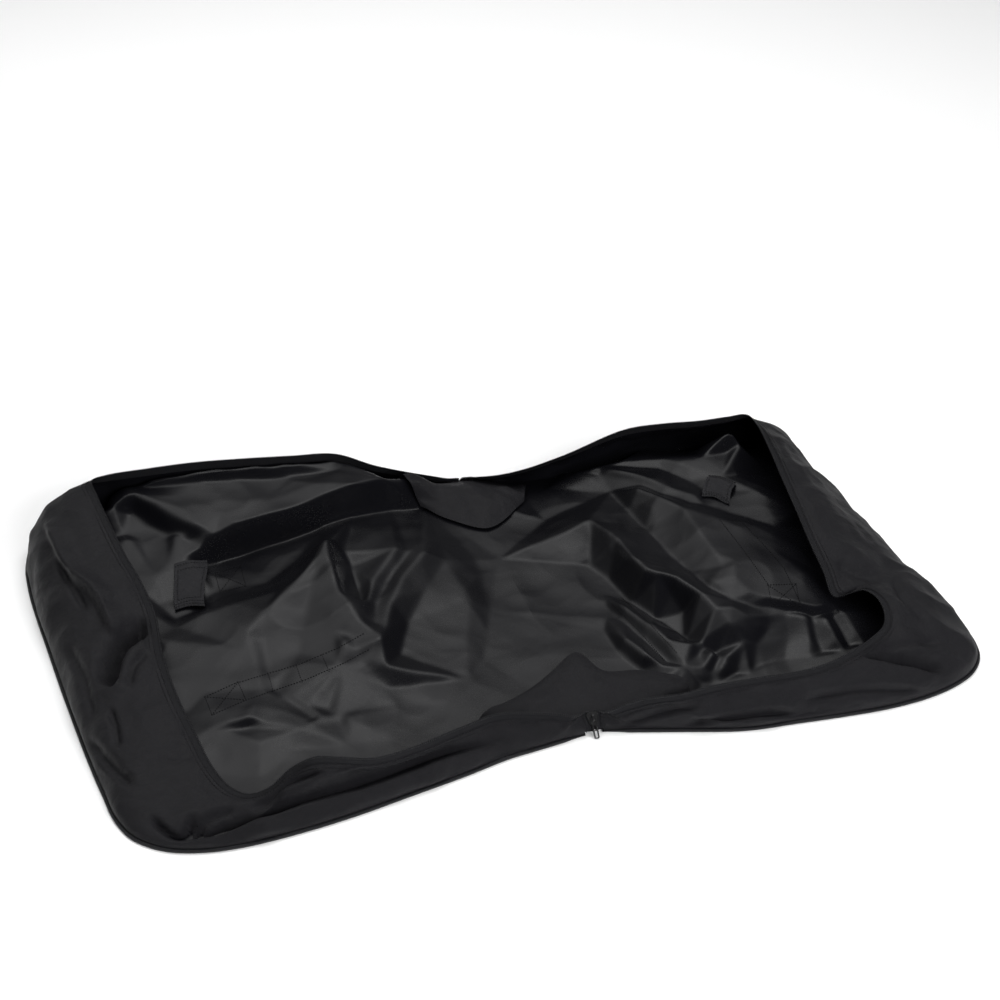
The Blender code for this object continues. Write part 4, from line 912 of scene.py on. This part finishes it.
# Outside, on the floor: the woven shell under each half, its carry handle and the webbing legs sewn to it
underPlan = {
    "shell": 0.0034, "shellWave": 0.0003, "shellStep": 6, "thick": 0.0010, "webbing": 0.040, "strap": 0.0011,
    "strapTop": 0.0015, "strapRound": 0.0003, "rounding": 0.070, "edge": 0.0045, "stitchHeight": 0.0005,
    "foldSeam": 0.0013, "foldSeamHeight": 0.0014, "foldSeamInset": 0.006, "foldSeamSteps": 160,
}


def makeShell(half):
    side = sides[half]["side"]
    flat = outlineGrid(half)[:: underPlan["shellStep"], :: underPlan["shellStep"]]
    solid = raised(flat, np.zeros(flat.shape[:2])).reshape(-1, 3)
    height = underPlan["shell"] + ripple(solid, 0.07, 21).reshape(flat.shape[:2]) * underPlan["shellWave"]
    grid = raised(flat, height)[::side]
    shell = makeSheet(half + "Shell", grid, underPlan["thick"], coated, woven)
    crossFold(shell)
    return shell


def makeStrap(name, way, body, node):
    # flat webbing along a way on the floor, sewn along both its edges
    along = unit(np.gradient(way, axis=0))
    across = np.stack([-along[:, 1], along[:, 0]], 1)
    spread = np.linspace(-0.5, 0.5, 9)
    flat = way[:, None] + across[:, None] * spread[None, :, None] * underPlan["webbing"]
    height = underPlan["strapTop"] - underPlan["strapRound"] * np.abs(spread * 2) ** 6
    height = np.tile(height, (len(way), 1))
    grid = facingUp(raised(flat, height))
    strap = makeSheet(name, grid, underPlan["strap"], webbing, webbing)
    inset = underPlan["webbing"] / 2 - underPlan["edge"]
    low, down = np.full(len(way), underPlan["stitchHeight"]), np.tile((0, 0, -1.0), (len(way), 1))
    ways = [(np.column_stack([way + across * place, low]), down) for place in (-inset, inset)]
    sewn = makeRow(name + "Stitches", ways, rowPlans["stitch"], thread)
    for piece in (strap, sewn):
        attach(piece, body)
    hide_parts(node)
    return strap, sewn


def roundCorner(before, corner, after, radius, steps=14):
    a, b = before - corner, after - corner
    start = corner + a / np.linalg.norm(a) * radius
    end = corner + b / np.linalg.norm(b) * radius
    middle = start + end - corner
    turns = np.linspace(0, math.pi / 2, steps)
    return [middle + (start - middle) * math.cos(t) + (end - middle) * math.sin(t) for t in turns]


for half, plan in sides.items():
    side = plan["side"]
    plan["shell"] = makeShell(half)
    plan["straps"] = []
    for row in ("near", "far"):
        node = half + "_webbing_" + row
        low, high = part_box(node)
        y = (low.y + high.y) / 2
        way = resample(np.array([(low.x, y), (high.x, y)]), np.linspace(0, 1, 60), 2)
        plan["straps"].append(makeStrap(half + "Leg" + row.capitalize(), way, half + "_half", node))
    low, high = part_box(half + "_handle")
    halfWide = underPlan["webbing"] / 2
    inner, outer = (low.x, high.x - halfWide) if side > 0 else (high.x, low.x + halfWide)
    nearY, farY = low.y + halfWide, high.y - halfWide
    ends = [np.array(p) for p in ((inner, nearY), (outer, nearY), (outer, farY), (inner, farY))]
    way = [ends[0]] + roundCorner(ends[0], ends[1], ends[2], underPlan["rounding"])
    way += roundCorner(ends[1], ends[2], ends[3], underPlan["rounding"]) + [ends[3]]
    way = resample(np.array(way), np.linspace(0, 1, 120), 2)
    plan["straps"].append(makeStrap(half + "Handle", way, half + "_handle", half + "_handle"))
    low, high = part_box("fold_seam_" + half)
    middle = (low.x + high.x) / 2
    start, end = low.y + underPlan["foldSeamInset"], high.y - underPlan["foldSeamInset"]
    line = np.array([(middle, y, underPlan["foldSeamHeight"])
                     for y in np.linspace(start, end, underPlan["foldSeamSteps"])])
    plan["foldSeam"] = makeTube(half + "FoldSeam", line, underPlan["foldSeam"], pipingCloth)
    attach(plan["foldSeam"], "base")
    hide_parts("fold_seam_" + half)
print("shells and webbing made")


def onLining(way, lift=0.0006):
    # where the camera's sight through each pixel meets a lining, with the way up there
    places, ups = [], []
    for u, v in way:
        ray = Vector(sightLine(u, v)).normalized()
        hits = [sides[half]["skin"].ray_cast(Vector(view["place"]), ray) for half in sides]
        hits = [hit for hit in hits if hit[0] is not None]
        if not hits:
            continue
        hit = min(hits, key=lambda h: h[3])
        up = hit[1] if hit[1].dot(ray) < 0 else -hit[1]
        places.append(np.array(hit[0] + up * lift))
        ups.append(np.array(up))
    return np.array(places), np.array(ups)


def evenPixels(corners, step=2.0):
    # pixels along straight runs between corners
    corners = [np.array(c, float) for c in corners]
    way = []
    for a, b in zip(corners, corners[1:]):
        count = max(1, int(np.linalg.norm(b - a) / step))
        way += [a + (b - a) * k / count for k in range(count)]
    return way + [corners[-1]]


# Seams that the sewn webbing outside leaves on the lining, in the photograph's pixels
liningSeams = {
    "left": [
        [(205, 697), (212, 715), (246, 700), (238, 682), (205, 697)],
        [(205, 697), (246, 700)], [(212, 715), (238, 682)],
        [(240, 682), (300, 664), (338, 648), (363, 634)],
        [(246, 700), (305, 680), (342, 664), (368, 650)],
        [(268, 673), (273, 691)], [(296, 665), (302, 682)], [(322, 655), (329, 671)],
        [(215, 573), (240, 566), (246, 586), (220, 592), (215, 573)],
        [(215, 573), (246, 586)], [(240, 566), (220, 592)],
    ],
    "right": [
        [(720, 520), (745, 552), (770, 587)], [(740, 520), (764, 545), (784, 568), (800, 602)],
        [(768, 585), (796, 584), (800, 606), (772, 606), (768, 585)],
        [(768, 585), (800, 606)], [(796, 584), (772, 606)],
        [(612, 604), (640, 632), (664, 660)], [(622, 598), (652, 626), (676, 652)],
    ],
}
for half, ways in liningSeams.items():
    rows = [onLining(evenPixels(way)) for way in ways]
    seams = makeRow(half + "LiningSeams", [row for row in rows if len(row[0]) > 2], rowPlans["stitch"], thread)
    crossFold(seams)
    sides[half]["liningSeams"] = seams
print("lining seams sewn")


# Webbing tabs sewn inside, by the photograph's pixels at their corners
tabPlans = {
    "left": {"corners": [(170, 562), (206, 558), (209, 609), (174, 614)], "flat": (0.052, 0.090), "height": 0.036},
    "right": {"corners": [(706, 474), (737, 482), (732, 506), (700, 497)], "flat": (0.042, 0.062), "height": 0.060},
}
tabShape = {
    "rows": 14, "columns": 18, "thick": 0.0016, "lift": 0.0034, "bulge": 0.0060, "wave": 0.0040, "rib": 0.0007,
    "stitchLift": 0.0007,
}


def makeTab(half, plan):
    # a short strap lying over the lining, held by a sewn box and three rows at its end
    a, b, c, d = (np.array(corner, float) for corner in plan["corners"])
    acrossTab, alongTab = (np.linspace(0, 1, tabShape[name]) for name in ("rows", "columns"))
    grid = np.empty((tabShape["rows"], tabShape["columns"], 3))
    for i, s in enumerate(acrossTab):
        for j, t in enumerate(alongTab):
            pixel = (a * (1 - s) + b * s) * (1 - t) + (d * (1 - s) + c * s) * t
            pixel = pixel + (1.6 * math.sin(5.0 * t + 1), 1.3 * math.sin(6.5 * s + 2))
            spots = onLining([pixel], 0)[0]
            grid[i, j] = spots[0] if len(spots) else at(*pixel, plan["height"])
    for k in range(3):
        grid[..., k] = blur(grid[..., k], 5)
    grid = facingUp(grid)
    push = tabShape["lift"] + np.sin(np.pi * alongTab) * tabShape["bulge"]
    push = push + ripple(grid.reshape(-1, 3), 0.03, 5).reshape(grid.shape[:2]) * tabShape["wave"]
    push = push + np.sin(9 * np.pi * alongTab) * tabShape["rib"]
    grid = grid + gridNormals(grid) * push[..., None]
    normals = gridNormals(grid)
    tab = makeSheet(half + "InnerTab", grid, tabShape["thick"], webbing, webbing)

    def way(points):
        spots = []
        for p, q in zip(points, points[1:]):
            spots += [(p[0] + (q[0] - p[0]) * k / 8, p[1] + (q[1] - p[1]) * k / 8) for k in range(8)]
        last = np.array(grid.shape[:2]) - 1
        rows = [tuple(int(round(n)) for n in np.array(spot) * last) for spot in spots + [points[-1]]]
        rows = [r for k, r in enumerate(rows) if k == 0 or r != rows[k - 1]]
        ups = np.array([normals[r] for r in rows])
        return np.array([grid[r] for r in rows]) + ups * tabShape["stitchLift"], ups

    box = [(0.15, 0.25), (0.85, 0.25), (0.85, 0.85), (0.15, 0.85), (0.15, 0.25)]
    bars = [[(0.08, t), (0.92, t)] for t in (0.88, 0.94, 0.12)]
    sewn = makeRow(half + "TabStitches", [way(box)] + [way(bar) for bar in bars], rowPlans["stitch"], thread)
    for piece in (tab, sewn):
        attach(piece, half + "_half")
    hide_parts(half + "_inner_tab")
    return tab, sewn


for half, plan in tabPlans.items():
    sides[half]["tab"], sides[half]["tabStitches"] = makeTab(half, plan)
print("inner tabs made")


# Flaps of the two ends, folded in over the lining: their feet and their tops
flapPlans = {
    "near": {
        "foot": [at(u, v, mm / 1000)[:2] for u, v, mm in (
            (478, 722, 12), (520, 722, 12), (560, 724, 12), (592, 727, 10), (620, 718, 12), (655, 708, 12),
            (690, 696, 12))],
        "top": [at(u, v, mm / 1000)[:2] for u, v, mm in (
            (498, 706, 14), (521, 693, 16), (550, 671, 18), (577, 650, 20), (604, 667, 20), (639, 668, 18),
            (684, 684, 16))],
    },
    "far": {
        "foot": [lay(x, y)[:2] for x, y in (
            (0.105, 0.596), (0.060, 0.606), (0, 0.616), (-0.060, 0.620), (-0.105, 0.620))],
        "top": [lay(x, y)[:2] for x, y in (
            (0.085, 0.545), (0.045, 0.505), (0, 0.480), (-0.045, 0.510), (-0.085, 0.560))],
    },
}
flapShape = {
    "along": 60, "up": 24, "thick": 0.0012, "lift": 0.0035, "fold": 0.006,
    "waves": waveList((0.045, 9, 0.007, False), (0.018, 4, 0.0026, False)),
    "gatherFrom": 0.7, "gather": 1.6,  # the right end is bunched
}


def makeFlap(end, plan):
    alongFlap, upFlap = (np.linspace(0, 1, flapShape[name]) for name in ("along", "up"))
    foot, top = (resample(smoothWay(plan[name], 8), alongFlap, 2) for name in ("foot", "top"))
    t = upFlap[None, :, None]
    flat = foot[:, None] * (1 - t) + top[:, None] * t
    height = liningHeight(flat)
    solid = raised(flat, height).reshape(-1, 3)
    waves = np.abs(crumple(solid, flapShape["waves"]).reshape(height.shape))
    gather = 1 + flapShape["gather"] * ease((alongFlap - flapShape["gatherFrom"]) / 0.25)[:, None]
    folded = np.sin(np.pi * upFlap) ** 0.6
    lift = flapShape["lift"] + folded[None] * (flapShape["fold"] + waves * gather)
    grid = raised(flat, blur(height + lift, 2))
    if np.cross(grid[1, 0] - grid[0, 0], grid[0, 1] - grid[0, 0])[2] < 0:
        grid = grid[::-1]
    flap = makeSheet(end + "EndFlap", grid, flapShape["thick"], woven, coated)
    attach(flap, "base")
    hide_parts(end + "_end_flap")
    return flap


flaps = {end: makeFlap(end, plan) for end, plan in flapPlans.items()}
print("end flaps made")

# Pieces that keep their CAD shape
for node in ("slider_body", "pull_tab", "near_zip_stop", "far_zip_stop"):
    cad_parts[node].material_slots[0].material = metal


# Each half's new pieces: their flat sizes, and how their cloth is held
cuts = {  # flat sizes in metres: the two webbing legs come before the handle
    "left": {"lining": (0.86, 0.80), "held": "laid", "long": 2.15, "shell": (0.76, 0.76),
             "straps": (0.34, 0.34, 0.54)},
    "right": {"lining": (0.72, 0.74), "held": "gathered", "long": 1.85, "shell": (0.62, 0.72),
              "straps": (0.24, 0.24, 0.54)},
}
for half, cut in cuts.items():
    plan = sides[half]


# The room. For each axis of the way out: from, to, and the light there
roomLight = {"Y": (-0.08, 0.48, 0.03, 1.0), "Z": (0.36, 0.93, 0.08, 1.14), "X": (0.20, 0.85, 1.0, 0.30)}
lamps = {
    "backSoftbox": {"at": (0.2, 2.2, 3.2), "size": (4.0, 2.5), "power": 90, "mirrored": False},
    "topSoftbox": {"at": (-1.0, 0.2, 3.4), "size": (3.0, 3.0), "power": 36, "mirrored": False},
    "frontSoftbox": {"at": (1.0, -2.9, 1.5), "size": (3.0, 2.0), "power": 150, "mirrored": False},
    "rimSoftbox": {"at": (0.45, 1.25, 3.0), "size": (1.6, 0.8), "power": 4, "mirrored": True},
}


def makeStage():
    pale = bpy.data.materials.new("paleFloor")
    pale.use_nodes = True
    shader = pale.node_tree.nodes["Principled BSDF"]
    for label, value in (("Base Color", (0.95, 0.95, 0.95, 1)), ("Roughness", 0.75), ("Specular IOR Level", 0.2)):
        shader.inputs[label].default_value = value
    reach = 12.0
    corners = [(-reach, -reach, 0), (reach, -reach, 0), (reach, reach, 0), (-reach, reach, 0)]
    makePiece("floor", corners, [(0, 1, 2, 3)], [pale])
    world = bpy.data.worlds.new("studio")
    bpy.context.scene.world = world
    world.use_nodes = True
    tree = world.node_tree
    direction = joined(tree, "ShaderNodeTexCoord", {})
    parts = joined(tree, "ShaderNodeSeparateXYZ", {}, direction.outputs["Generated"])
    # palest high up behind the bag, as in the room that the photograph was taken in
    level = 1.0
    for axis, spread in roomLight.items():
        shade = joined(tree, "ShaderNodeMapRange", {"interpolation_type": "SMOOTHSTEP"}, parts.outputs[axis], *spread)
        level = joined(tree, "ShaderNodeMath", {"operation": "MULTIPLY"}, level, shade.outputs[0]).outputs[0]
    rays = joined(tree, "ShaderNodeLightPath", {})
    seen = tree.nodes.new("ShaderNodeMix")
    tree.links.new(rays.outputs["Is Camera Ray"], seen.inputs[0])
    tree.links.new(level, seen.inputs[2])
    seen.inputs[3].default_value = 1.0
    back = tree.nodes["Background"]
    back.inputs["Color"].default_value = (1, 1, 1, 1)
    tree.links.new(seen.outputs[0], back.inputs["Strength"])
    for name, plan in lamps.items():
        lamp = bpy.data.lights.new(name, "AREA")
        lamp.shape = "RECTANGLE"
        lamp.size, lamp.size_y = plan["size"]
        lamp.energy = plan["power"]
        box = placed(name, lamp)
        box.location = plan["at"]
        box.rotation_euler = (-Vector(plan["at"])).to_track_quat("-Z", "Y").to_euler()
        box.visible_glossy = plan["mirrored"]


def makeCamera():
    lens = bpy.data.cameras.new("camera")
    lens.lens = view["lens"]
    lens.sensor_width = view["sensor"]
    camera = placed("camera", lens)
    camera.location = view["place"]
    aim = Vector(view["aim"]) - Vector(view["place"])
    camera.rotation_euler = aim.to_track_quat("-Z", "Y").to_euler()
    bpy.context.scene.camera = camera


makeStage()
makeCamera()
bpy.context.scene.view_settings.view_transform = "Standard"
